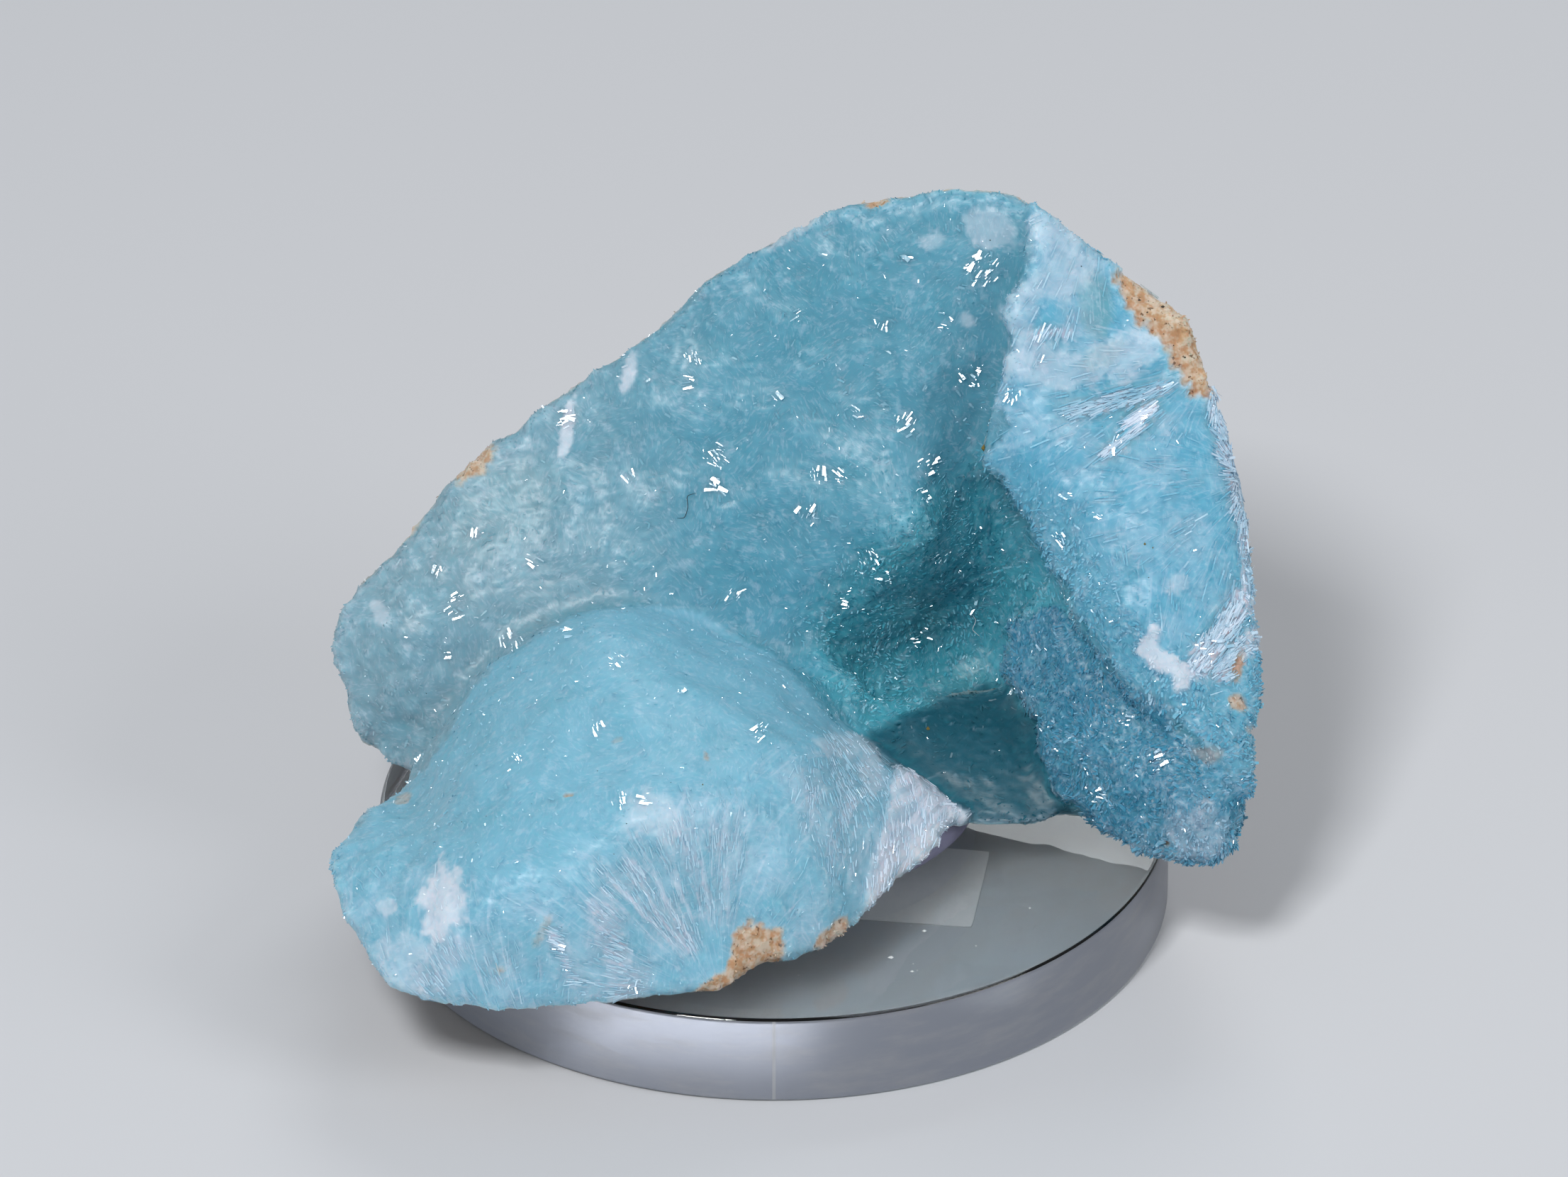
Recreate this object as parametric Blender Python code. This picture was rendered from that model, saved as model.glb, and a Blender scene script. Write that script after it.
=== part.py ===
"""A blue hemimorphite crust, held by mounting putty on a clear acrylic display disc.

Lengths are metres. The origin is the centre of the disc's underside, +Z is up, and +Y points
away from someone who faces the stone's open, crystal-lined side.

The stone's forms are set down as that viewer sees them, looking down at SIGHT_TILT: a point is
(across, up, depth) in millimetres, across to the right, up in the line of sight's own upright,
and depth along +Y. across and up are counted from the centre of the disc's top face.
"""

import math

import bmesh
import bpy
import numpy as np
from mathutils import Matrix, Vector, noise

MM = 0.001

# Driving dimensions of the stand
DISC_DIAMETER = 50 * MM
DISC_THICKNESS = 6 * MM
DISC_EDGE = 0.35 * MM
DISC_SEGMENTS = 64
LABEL_SIZE = (10 * MM, 9 * MM, 0.15 * MM)
LABEL_CENTRE = (8.1 * MM, -5.0 * MM)
LABEL_TURN = math.radians(-8)
GAP = 0.3 * MM
PUTTY_RADIUS = 12.4 * MM
STONE_REST_HEIGHT = 2.4 * MM

# How the stone's forms are seen and how finely they are made
SIGHT_TILT = math.radians(31)
GRAIN = 0.55 * MM
STONE_TRIANGLES = 8600

# Colours as Principled base colours, with roughness
STONE_BLUE = ((0.36, 0.66, 0.76), 0.35)
PUTTY_LILAC = ((0.50, 0.50, 0.62), 0.55)
ACRYLIC = ((0.92, 0.96, 0.98), 0.03)
PAPER = ((0.72, 0.77, 0.80), 0.7)

# The back wall, from the left lobe over the summit and down the right side
WALL_OUTLINE = [
    (-27.9, 11.1, 3.5), (-26.5, 13.5, 4.8), (-24.3, 15.9, 6.5), (-22.5, 18.2, 8.0),
    (-20.5, 20.4, 9.3), (-18.3, 22.7, 10.4), (-16.2, 23.8, 11.0), (-14.6, 25.4, 11.6),
    (-12.5, 26.8, 12.2), (-9.6, 28.7, 12.7), (-7.2, 30.3, 13.0), (-4.5, 33.0, 13.4),
    (-1.2, 35.2, 13.6), (1.6, 36.5, 13.6), (4.2, 37.9, 13.5), (8.2, 38.4, 13.2),
    (10.8, 39.1, 13.0), (14.3, 38.8, 12.5), (16.6, 37.6, 12.0), (20.6, 34.5, 10.8),
    (23.8, 32.2, 9.4), (26.3, 29.4, 8.0), (27.6, 25.6, 6.4), (28.3, 22.4, 5.0),
    (29.2, 18.8, 3.0), (29.5, 14.0, 0.5), (29.6, 9.0, -2.0), (28.8, 4.0, -4.5),
    (26.0, 1.0, -5.5), (20.0, 0.6, -4.5), (12.0, 0.2, -3.5), (4.0, -1.0, -4.0),
    (-6.0, -2.0, -6.0), (-15.0, -1.0, -4.0), (-21.0, 1.8, -0.5), (-23.6, 2.5, 0.5),
    (-25.3, 3.7, 1.2), (-26.8, 5.2, 1.6), (-27.1, 7.2, 2.0), (-27.8, 9.2, 2.8),
]
WALL_HEART = (3.0, 15.0)
WALL_FORM = [
    (-22.5, 12.0, 2.6), (-23.0, 7.0, 0.9), (-19.0, 8.0, 1.8), (-19.0, 15.5, 5.6),
    (-14.0, 13.5, 4.2), (-14.0, 19.0, 7.4), (-8.5, 15.5, 4.8), (-9.0, 22.0, 8.4),
    (-8.0, 27.0, 10.6), (-3.0, 13.5, 4.3), (-2.5, 19.5, 6.6), (-2.0, 26.0, 9.3),
    (-1.0, 31.0, 11.3), (3.0, 11.5, 4.2), (4.0, 17.0, 4.6), (5.0, 23.5, 7.4),
    (6.0, 29.5, 9.8), (6.0, 34.5, 11.4), (9.2, 16.8, 3.2), (9.5, 21.0, 6.2),
    (10.5, 27.5, 8.6), (11.0, 34.0, 10.8), (13.0, 19.0, 8.8), (13.6, 24.0, 9.4),
    (14.5, 30.0, 10.0), (15.0, 35.0, 10.9), (8.0, 12.0, 6.6), (12.5, 13.0, 9.2),
    (6.0, 8.6, 6.6), (10.0, 8.6, 8.4), (14.0, 9.0, 8.6), (19.0, 12.0, 6.0),
    (22.0, 20.0, 6.5), (19.0, 28.0, 9.0),
]

# The mound in front, whose forward face and right-hand wing are broken across the fibres
MOUND_OUTLINE = [
    (-23.2, 1.3, -4.0), (-22.0, 3.6, -2.6), (-20.4, 5.8, -1.4), (-17.9, 8.9, -0.2),
    (-14.8, 11.1, 1.0), (-10.7, 12.6, 1.6), (-6.8, 12.1, 1.6), (-4.3, 10.9, 1.4),
    (-1.9, 10.2, 1.0), (0.8, 9.0, 0.4), (3.0, 7.6, -0.5), (3.9, 6.0, -1.8),
    (4.4, 4.9, -3.0), (5.8, 4.3, -3.8), (6.7, 3.1, -4.6), (8.2, 2.6, -5.0),
    (9.8, 1.1, -5.8), (11.8, -0.2, -6.5), (10.5, -1.2, -8.0), (9.5, -2.7, -10.2),
    (8.0, -4.4, -12.5), (6.2, -6.3, -15.6), (5.2, -7.3, -17.3), (3.0, -8.5, -19.6),
    (0.8, -9.2, -21.2), (-1.3, -9.5, -22.2), (-2.5, -10.5, -23.2), (-4.1, -11.1, -24.0),
    (-9.2, -11.5, -24.8), (-14.6, -12.1, -25.6), (-18.0, -12.2, -25.6), (-20.3, -11.8, -25.2),
    (-22.3, -11.3, -24.6), (-24.1, -10.4, -23.6), (-25.3, -8.8, -21.8), (-26.3, -7.2, -20.0),
    (-27.1, -5.4, -18.0), (-27.7, -3.7, -16.0), (-27.4, -2.5, -14.0), (-26.6, -1.8, -12.2),
    (-25.7, -0.5, -9.8), (-24.6, 0.3, -7.6),
]
MOUND_HEART = (-9.0, -0.5)
MOUND_FORM = [
    (-10.7, 10.4, -4.6), (-10.7, 7.0, -10.0), (-10.5, 3.0, -15.8), (-9.0, 0.2, -20.2),
    (-9.0, -2.5, -22.0), (-9.0, -7.0, -23.8), (-24.5, -2.2, -15.0), (-23.5, -5.0, -19.6),
    (-20.5, -1.0, -15.8), (-20.0, 3.0, -9.2), (-17.0, 6.5, -6.8), (-22.5, -8.2, -23.2),
    (-16.0, 0.0, -18.0), (-16.0, -3.4, -22.6), (-15.5, -8.0, -24.8), (-5.0, 8.4, -6.6),
    (-4.5, 4.0, -14.2), (-5.0, 0.8, -19.2), (-4.0, -2.0, -20.6), (-4.0, -6.0, -22.0),
    (0.0, 6.2, -7.6), (0.6, 3.0, -14.2), (1.0, 0.0, -16.8), (1.6, 5.9, -5.6),
    (3.2, 4.4, -8.4), (3.6, 1.6, -12.6), (5.0, -1.0, -14.0), (4.0, -5.0, -17.8),
    (0.0, -5.0, -20.4), (6.4, 2.0, -7.6), (7.4, 0.0, -10.2), (8.6, -1.0, -9.4),
    (6.6, -3.6, -13.6),
]

# The right wall: a broken cross-section of the crust, standing proud of the valley
CHEEK_OUTLINE = [
    (16.4, 37.4, 11.0), (15.9, 35.6, 9.6), (15.6, 33.2, 8.4), (14.7, 31.6, 7.4),
    (14.8, 29.4, 6.4), (14.7, 27.8, 5.8), (14.0, 25.8, 5.0), (13.3, 23.4, 4.4),
    (13.1, 21.5, 4.0), (14.8, 20.1, 2.8), (16.0, 18.2, 1.6), (17.0, 16.3, 0.4),
    (18.0, 14.3, -0.8), (18.4, 12.6, -1.8), (20.0, 10.8, -3.2), (21.2, 8.9, -4.6),
    (22.7, 6.9, -6.0), (24.6, 5.7, -7.2), (26.3, 4.4, -8.2), (28.2, 3.0, -9.0),
    (29.6, 4.2, -7.6), (30.1, 6.0, -6.0), (30.4, 8.2, -4.4), (30.3, 10.2, -3.0),
    (29.9, 12.4, -1.6), (29.7, 15.4, -0.2), (29.2, 18.8, 1.4), (28.4, 22.4, 3.2),
    (27.6, 25.6, 4.8), (26.9, 28.2, 6.2), (26.0, 30.2, 7.2), (24.8, 31.6, 8.2),
    (23.5, 32.3, 9.0), (22.0, 33.4, 9.8), (20.4, 34.6, 10.4), (18.3, 36.3, 11.0),
]
CHEEK_HEART = (21.5, 20.0)
CHEEK_FORM = [
    (18.0, 32.0, 7.8), (22.0, 30.5, 7.6), (18.0, 27.0, 5.2), (23.0, 26.0, 5.0),
    (17.0, 22.5, 2.6), (21.5, 21.5, 1.8), (26.0, 22.0, 2.4), (20.0, 16.8, -1.0),
    (25.0, 16.0, -1.6), (22.5, 11.5, -4.4), (27.5, 11.0, -3.6), (26.0, 7.0, -7.0),
]

# The drusy lobe that hangs below the right wall
HANGING_OUTLINE = [
    (17.0, 14.4, 3.0), (15.2, 12.2, 2.2), (14.8, 10.4, 1.2), (15.0, 9.0, 0.5),
    (14.7, 8.1, -0.2), (15.9, 7.1, -1.0), (16.6, 5.8, -2.0), (17.0, 4.6, -3.0),
    (16.7, 3.7, -3.6), (17.2, 2.5, -4.4), (17.8, 1.3, -5.2), (19.4, 0.3, -6.8),
    (20.5, -0.7, -8.0), (22.3, -1.6, -9.4), (23.7, -2.4, -10.6), (25.0, -3.0, -11.4),
    (26.6, -3.0, -11.6), (28.2, -2.6, -11.2), (28.9, -1.4, -10.4), (29.0, 0.2, -9.4),
    (29.6, 2.0, -8.4), (29.6, 4.2, -6.6), (28.0, 8.0, -3.0), (24.0, 12.0, 0.0),
    (20.0, 14.6, 2.4),
]
HANGING_HEART = (22.0, 4.5)
HANGING_FORM = [
    (17.6, 10.4, -0.6), (18.6, 7.0, -3.0), (19.4, 3.4, -6.0), (22.0, 7.0, -4.2),
    (22.6, 1.4, -8.8), (25.0, 3.4, -8.2), (26.4, -0.6, -11.2),
]

# The smooth lobe on the floor of the hollow
FLOOR_OUTLINE = [
    (5.6, 5.0, 0.0), (6.0, 6.6, 1.8), (8.0, 7.1, 2.4), (10.5, 7.2, 2.6),
    (13.0, 7.5, 2.8), (16.0, 7.2, 2.4), (18.6, 5.0, 0.0), (20.4, 1.4, -3.6),
    (19.8, -0.5, -6.0), (18.2, -0.4, -6.2), (17.0, -0.8, -6.6), (16.2, -1.5, -7.0),
    (14.7, -1.7, -7.3), (13.0, -1.2, -6.9), (11.0, -0.7, -6.2), (7.6, 0.6, -4.8),
    (5.4, 3.0, -2.4),
]
FLOOR_HEART = (12.6, 3.0)
FLOOR_FORM = [
    (9.0, 4.6, -1.4), (13.0, 5.0, -0.8), (16.6, 4.0, -1.8), (10.5, 1.8, -4.4),
    (14.4, 1.4, -5.0), (17.4, 1.4, -4.8),
]

# The small ear between the mound and the hollow
EAR_OUTLINE = [
    (2.0, 9.6, 3.0), (3.6, 9.4, 2.6), (5.2, 8.6, 2.2), (6.2, 7.2, 1.6),
    (6.3, 5.8, 0.6), (5.6, 4.6, -0.6), (4.0, 4.6, -1.6), (2.0, 6.6, 0.0),
]
EAR_HEART = (4.2, 7.0)
EAR_FORM = [(4.4, 7.0, 0.2)]

# Flat fracture faces on the rind: a direction, and the depth that it cuts into the bulge in millimetres
FRACTURES = [
    ((0.05, 1.0, 0.10), 2.2), ((-0.55, 0.80, 0.20), 2.0), ((0.60, 0.78, 0.15), 2.0),
    ((-0.30, 0.85, -0.45), 2.2), ((0.35, 0.80, -0.50), 2.0), ((-0.75, 0.60, -0.20), 1.2),
    ((0.0, 0.75, -0.66), 1.4),
]

# How far each form bulges backwards from its outline, in millimetres
WALL_BULGE = 12.0
MOUND_BULGE = 15.0
CHEEK_BULGE = 9.0
HANGING_BULGE = 9.0
FLOOR_BULGE = 9.0
EAR_BULGE = 6.0
BULGE_ROUNDNESS = 2.5


def seen(across, up, depth):
    """Row-frame coordinates in metres of points given as the viewer sees them, in millimetres."""
    height = (up - depth * math.sin(SIGHT_TILT)) / math.cos(SIGHT_TILT)
    return np.stack([across * MM, depth * MM, height * MM + DISC_THICKNESS], axis=-1)


def thin_plate(landmarks, stiffness=0.02):
    """A smooth depth over (across, up): the bent plate that passes close to the landmarks."""
    points = np.array([mark[:2] for mark in landmarks], float)
    depths = np.array([mark[2] for mark in landmarks], float)
    count = len(points)

    def kernel(a, b):
        gap = np.linalg.norm(a[:, None, :] - b[None, :, :], axis=2)
        return gap**2 * np.log(np.maximum(gap, 1e-9))

    flat = np.hstack([np.ones((count, 1)), points])
    system = np.zeros((count + 3, count + 3))
    system[:count, :count] = kernel(points, points) + stiffness * np.eye(count)
    system[:count, count:] = flat
    system[count:, :count] = flat.T
    weights = np.linalg.solve(system, np.concatenate([depths, np.zeros(3)]))

    def depth(across, up):
        where = np.stack([across.ravel(), up.ravel()], axis=1)
        bent = kernel(where, points) @ weights[:count]
        level = weights[count] + where @ weights[count + 1:]
        return (bent + level).reshape(across.shape)

    return depth


def smooth_ring(outline, samples):
    """The closed outline as a Catmull-Rom curve through its points, sampled evenly by point."""
    points = np.array(outline, float)
    count = len(points)
    at = np.arange(samples) * count / samples
    span = np.floor(at).astype(int)
    t = (at - span)[:, None]
    before, start, end, after = (points[(span + step) % count] for step in (-1, 0, 1, 2))
    return 0.5 * (
        2 * start
        + (end - before) * t
        + (2 * before - 5 * start + 4 * end - after) * t**2
        + (3 * start - before - 3 * end + after) * t**3
    )


def form_mesh(name, outline, heart, landmarks, bulge):
    """A closed form: its front passes through the landmarks, its back bulges from its outline.

    Rings shrink from the outline to the heart, once over the front and once over the back.
    """
    samples = 6 * len(outline)
    front_steps = 26
    back_steps = 12
    ring = smooth_ring(outline, samples)
    front_depth = thin_plate(list(outline) + list(landmarks))
    rim_depth = thin_plate(outline, stiffness=0.5)
    centre = np.array(heart)

    def scaled(share):
        return centre + (ring[:, :2] - centre) * share

    rings = []
    for step in range(front_steps - 1, 0, -1):
        flat = scaled(step / front_steps)
        rings.append(seen(flat[:, 0], flat[:, 1], front_depth(flat[:, 0], flat[:, 1])))
    rings.reverse()
    edge = scaled(1.0)
    rim = front_depth(edge[:, 0], edge[:, 1])
    rings.append(seen(edge[:, 0], edge[:, 1], rim))
    for step in range(1, back_steps):
        share = math.cos(math.pi / 2 * step / back_steps)
        flat = scaled(share)
        back = rim_depth(flat[:, 0], flat[:, 1])
        back = back + bulge * (1 - share**BULGE_ROUNDNESS) ** (1 / BULGE_ROUNDNESS)
        rings.append(seen(flat[:, 0], flat[:, 1], back))
    heart_front = front_depth(centre[:1], centre[1:])
    heart_back = rim_depth(centre[:1], centre[1:]) + bulge

    mesh = bmesh.new()
    rows = [[mesh.verts.new(Vector(point)) for point in row] for row in rings]
    front_tip = mesh.verts.new(Vector(seen(centre[:1], centre[1:], heart_front)[0]))
    back_tip = mesh.verts.new(Vector(seen(centre[:1], centre[1:], heart_back)[0]))
    for inner, outer in zip(rows, rows[1:]):
        for k in range(samples):
            after = (k + 1) % samples
            mesh.faces.new((inner[k], inner[after], outer[after], outer[k]))
    for k in range(samples):
        after = (k + 1) % samples
        mesh.faces.new((front_tip, rows[0][after], rows[0][k]))
        mesh.faces.new((back_tip, rows[-1][k], rows[-1][after]))
    bmesh.ops.recalc_face_normals(mesh, faces=mesh.faces)
    return finish_object(name, mesh)


def finish_object(name, mesh):
    """Puts a bmesh into the scene as an object of that name."""
    data = bpy.data.meshes.new(name)
    mesh.to_mesh(data)
    mesh.free()
    made = bpy.data.objects.new(name, data)
    bpy.context.scene.collection.objects.link(made)
    return made


def evaluated(source, name):
    """A new object that holds what source looks like with its modifiers; source is removed."""
    graph = bpy.context.evaluated_depsgraph_get()
    data = bpy.data.meshes.new_from_object(source.evaluated_get(graph))
    bpy.data.objects.remove(source)
    data.name = name
    made = bpy.data.objects.new(name, data)
    bpy.context.scene.collection.objects.link(made)
    return made


def joined(sources, name):
    """The objects' meshes in one object; the sources are removed."""
    mesh = bmesh.new()
    for source in sources:
        mesh.from_mesh(source.data)
        bpy.data.objects.remove(source)
    return finish_object(name, mesh)


def voxel_skin(source, size, name):
    """One closed skin round everything in source, by a voxel Remesh."""
    remesh = source.modifiers.new("skin", "REMESH")
    remesh.mode = "VOXEL"
    remesh.voxel_size = size
    return evaluated(source, name)


def surface_material(name, look, transmission=0.0):
    """A Principled material with that colour and roughness."""
    (red, green, blue), roughness = look
    material = bpy.data.materials.new(name)
    material.use_nodes = True
    shader = material.node_tree.nodes["Principled BSDF"]
    shader.inputs["Base Color"].default_value = (red, green, blue, 1.0)
    shader.inputs["Roughness"].default_value = roughness
    shader.inputs["Metallic"].default_value = 0.0
    shader.inputs["Transmission Weight"].default_value = transmission
    return material


def under_height(across, away):
    """Height above the disc of the stone's underside: level on the putty, lower towards the front."""
    front = np.clip((-away / MM - 14.0) / 8.0, 0.0, 1.0)
    fall = front * front * (3 - 2 * front)
    ripple = 0.25 * np.sin(across / MM * 0.9) * np.sin(away / MM * 0.7 + 1.0)
    outside = np.clip((np.hypot(across, away) / MM - 13.0) / 3.0, 0.0, 1.0)
    return STONE_REST_HEIGHT + (-1.5 * fall + ripple * outside) * MM


def underside_cutter():
    """The block under the stone, with the stone's underside as its top."""
    half = 38 * MM
    depth = 40 * MM
    steps = 39
    mesh = bmesh.new()
    bmesh.ops.create_grid(mesh, x_segments=steps, y_segments=steps, size=half)
    for vert in mesh.verts:
        height = under_height(np.array(vert.co.x), np.array(vert.co.y))
        vert.co.z = DISC_THICKNESS + float(height)
    edges = [edge for edge in mesh.edges if edge.is_boundary]
    made = bmesh.ops.extrude_edge_only(mesh, edges=edges)
    lower = [item for item in made["geom"] if isinstance(item, bmesh.types.BMVert)]
    for vert in lower:
        vert.co.z = DISC_THICKNESS - depth
    bmesh.ops.holes_fill(mesh, edges=[edge for edge in mesh.edges if edge.is_boundary], sides=0)
    bmesh.ops.recalc_face_normals(mesh, faces=mesh.faces)
    cutter = finish_object("underside_cutter", mesh)
    cutter.hide_render = True
    cutter.display_type = "WIRE"
    return cutter


def lumps(point, size, seed):
    """Noise from -1 to 1 at that size of lump, in metres."""
    return noise.noise(Vector(point) / size + Vector((seed, 2.0 * seed, 3.0 * seed)))


def open_side(normal):
    """1 where the surface faces the viewer, as the druse does, falling to 0 on the rind."""
    sight = Vector((0.0, -math.cos(SIGHT_TILT), math.sin(SIGHT_TILT)))
    return max(0.0, min(1.0, normal.dot(sight) * 3.0 + 0.6))


def break_rind(stone):
    """Presses the rind's bulge onto flat fracture faces."""
    points = np.array([vert.co for vert in stone.data.vertices])
    rind = np.array([1 - open_side(vert.normal) for vert in stone.data.vertices])
    for direction, depth in FRACTURES:
        outward = np.array(direction) / np.linalg.norm(direction)
        reach = points @ outward
        over = np.maximum(reach - (reach.max() - depth * MM), 0.0)
        points -= (over * rind)[:, None] * outward
    stone.data.vertices.foreach_set("co", points.ravel())
    stone.data.update()


def roughen(stone):
    """Botryoidal lumps on the open side, and coarser rock lumps on the rind."""
    normals = [vert.normal.copy() for vert in stone.data.vertices]
    level_top = DISC_THICKNESS + STONE_REST_HEIGHT + 0.8 * MM
    for vert, normal in zip(stone.data.vertices, normals):
        facing = open_side(normal)
        crystal = 0.22 * lumps(vert.co, 2.4 * MM, 1.0) + 0.12 * lumps(vert.co, 1.3 * MM, 2.0)
        rock = 0.55 * lumps(vert.co, 7.0 * MM, 3.0) + 0.32 * lumps(vert.co, 2.4 * MM, 4.0)
        rock = rock if vert.co.z > level_top else 0.0
        vert.co += normal * (crystal * facing + rock * (1 - facing)) * MM


def make_stone():
    """The hemimorphite: all its forms grown into one skin, cut level where it sits, roughened."""
    forms = [
        form_mesh("wall", WALL_OUTLINE, WALL_HEART, WALL_FORM, WALL_BULGE),
        form_mesh("mound", MOUND_OUTLINE, MOUND_HEART, MOUND_FORM, MOUND_BULGE),
        form_mesh("cheek", CHEEK_OUTLINE, CHEEK_HEART, CHEEK_FORM, CHEEK_BULGE),
        form_mesh("hanging", HANGING_OUTLINE, HANGING_HEART, HANGING_FORM, HANGING_BULGE),
        form_mesh("floor", FLOOR_OUTLINE, FLOOR_HEART, FLOOR_FORM, FLOOR_BULGE),
        form_mesh("ear", EAR_OUTLINE, EAR_HEART, EAR_FORM, EAR_BULGE),
    ]
    stone = voxel_skin(joined(forms, "forms"), GRAIN, "grown")
    cutter = underside_cutter()
    cut = stone.modifiers.new("underside", "BOOLEAN")
    cut.operation = "DIFFERENCE"
    cut.solver = "EXACT"
    cut.object = cutter
    stone = evaluated(stone, "cut")
    bpy.data.objects.remove(cutter)
    stone = voxel_skin(stone, GRAIN, "hemimorphite")
    break_rind(stone)
    roughen(stone)
    triangles = sum(len(face.vertices) - 2 for face in stone.data.polygons)
    thin = stone.modifiers.new("fewer_faces", "DECIMATE")
    thin.ratio = min(1.0, STONE_TRIANGLES / triangles)
    stone.data.materials.append(surface_material("hemimorphite", STONE_BLUE))
    return stone


def make_putty():
    """The squashed pad of mounting putty: a turned outline, flat above and below, bulging between."""
    height = STONE_REST_HEIGHT - 2 * GAP
    segments = 32
    side = 5
    mesh = bmesh.new()
    rows = []
    for step in range(side + 1):
        turn = math.pi * (step / side - 0.5)
        ring = []
        for k in range(segments):
            angle = 2 * math.pi * k / segments
            wander = 0.35 * math.sin(2 * angle + 0.6) + 0.22 * math.sin(3 * angle + 2.0)
            radius = PUTTY_RADIUS - 0.9 * MM * (1 - math.cos(turn)) + wander * MM
            level = DISC_THICKNESS + GAP + height * (0.5 + 0.5 * math.sin(turn))
            ring.append(mesh.verts.new((radius * math.cos(angle), radius * math.sin(angle), level)))
        rows.append(ring)
    for lower, upper in zip(rows, rows[1:]):
        for k in range(segments):
            after = (k + 1) % segments
            mesh.faces.new((lower[k], lower[after], upper[after], upper[k]))
    mesh.faces.new(list(reversed(rows[0])))
    mesh.faces.new(rows[-1])
    putty = finish_object("mounting_putty", mesh)
    putty.data.materials.append(surface_material("putty", PUTTY_LILAC))
    return putty


def slab(name, size, centre, turn, low):
    """A flat rectangular slab standing on height low, turned about the upright."""
    mesh = bmesh.new()
    place = Matrix.Translation((centre[0], centre[1], low + size[2] / 2))
    place = place @ Matrix.Rotation(turn, 4, "Z") @ Matrix.Diagonal((*size, 1.0))
    bmesh.ops.create_cube(mesh, size=1.0, matrix=place)
    return finish_object(name, mesh)


def make_disc():
    """The clear disc, with a shallow seat underneath that keeps the label flush with the base."""
    mesh = bmesh.new()
    bmesh.ops.create_cone(
        mesh,
        cap_ends=True,
        segments=DISC_SEGMENTS,
        radius1=DISC_DIAMETER / 2,
        radius2=DISC_DIAMETER / 2,
        depth=DISC_THICKNESS,
        matrix=Matrix.Translation((0.0, 0.0, DISC_THICKNESS / 2)),
    )
    rims = [edge for edge in mesh.edges if abs(edge.verts[0].co.z - edge.verts[1].co.z) < 1e-6]
    bmesh.ops.bevel(mesh, geom=rims, offset=DISC_EDGE, segments=1, affect="EDGES")
    disc = finish_object("display_disc", mesh)
    width, height, thickness = LABEL_SIZE
    below = 2 * MM
    seat_size = (width + 2 * GAP, height + 2 * GAP, thickness + GAP + below)
    cutter = slab("label_seat", seat_size, LABEL_CENTRE, LABEL_TURN, -below)
    cutter.hide_render = True
    cutter.display_type = "WIRE"
    seat = disc.modifiers.new("label_seat", "BOOLEAN")
    seat.operation = "DIFFERENCE"
    seat.solver = "EXACT"
    seat.object = cutter
    disc.data.materials.append(surface_material("acrylic", ACRYLIC, transmission=1.0))
    return disc


def make_label():
    """The blank paper label, flush with the underside of the disc."""
    label = slab("paper_label", LABEL_SIZE, LABEL_CENTRE, LABEL_TURN, 0.0)
    label.data.materials.append(surface_material("paper", PAPER))
    return label


def build():
    """Clears the scene and makes the four pieces."""
    for old in list(bpy.data.objects):
        bpy.data.objects.remove(old)
    make_stone()
    make_putty()
    make_disc()
    make_label()


build()
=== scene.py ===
# %% [markdown]
# A blue hemimorphite crust on its display disc
#
# The real thing is one broken piece of crust: a hollow lined with tiny bladed crystals, a rounded
# mound in front, and broken edges that show the silky fibres the crust is built of. It sits in a
# squashed pad of putty on a clear acrylic disc, with a small blank paper label stuck underneath.
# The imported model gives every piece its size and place. This script adds the surfaces.

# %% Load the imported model
import math
import bmesh
import bpy
import numpy as np
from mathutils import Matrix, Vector


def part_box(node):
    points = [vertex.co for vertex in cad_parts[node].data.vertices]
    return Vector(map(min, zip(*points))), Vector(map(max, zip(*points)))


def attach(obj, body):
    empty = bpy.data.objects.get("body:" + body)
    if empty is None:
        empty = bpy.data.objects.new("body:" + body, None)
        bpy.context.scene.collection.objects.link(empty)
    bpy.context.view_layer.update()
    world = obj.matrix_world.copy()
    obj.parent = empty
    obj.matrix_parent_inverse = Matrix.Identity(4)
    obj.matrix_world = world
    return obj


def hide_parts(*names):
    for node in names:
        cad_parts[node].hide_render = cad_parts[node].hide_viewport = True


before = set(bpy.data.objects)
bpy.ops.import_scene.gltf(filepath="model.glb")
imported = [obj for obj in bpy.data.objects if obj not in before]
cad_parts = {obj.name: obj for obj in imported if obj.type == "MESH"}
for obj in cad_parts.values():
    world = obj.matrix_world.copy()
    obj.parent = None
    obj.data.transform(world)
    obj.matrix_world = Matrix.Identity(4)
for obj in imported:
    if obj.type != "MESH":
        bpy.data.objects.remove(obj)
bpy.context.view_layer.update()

MM = 0.001
RANDOM = np.random.default_rng(40)

# %% [markdown]
# Places on the stone are written as someone in front of it sees them, looking down at 31 degrees:
# millimetres across and up from the centre of the disc's top face, plus the depth away from the
# viewer. One function turns model coordinates into that view, so every patch, streak and
# sparkle below is a small shape given in those three numbers.

# %% The line of sight
SIGHT_TILT = math.radians(31)
DISC_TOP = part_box("display_disc")[1].z
SIGHT = np.array([0.0, math.cos(SIGHT_TILT), -math.sin(SIGHT_TILT)])


def sighted(points):
    """Across, up and depth in mm: x; z times cos tilt plus y times sin tilt; and y."""
    up = (points[:, 2] - DISC_TOP) * math.cos(SIGHT_TILT) + points[:, 1] * math.sin(SIGHT_TILT)
    return np.stack([points[:, 0], up, points[:, 1]], axis=1) / MM


def step(value, start, end):
    """0 before start, 1 after end, and 3t squared minus 2t cubed between them."""
    t = np.clip((value - start) / (end - start), 0.0, 1.0)
    return t * t * (3 - 2 * t)


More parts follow.
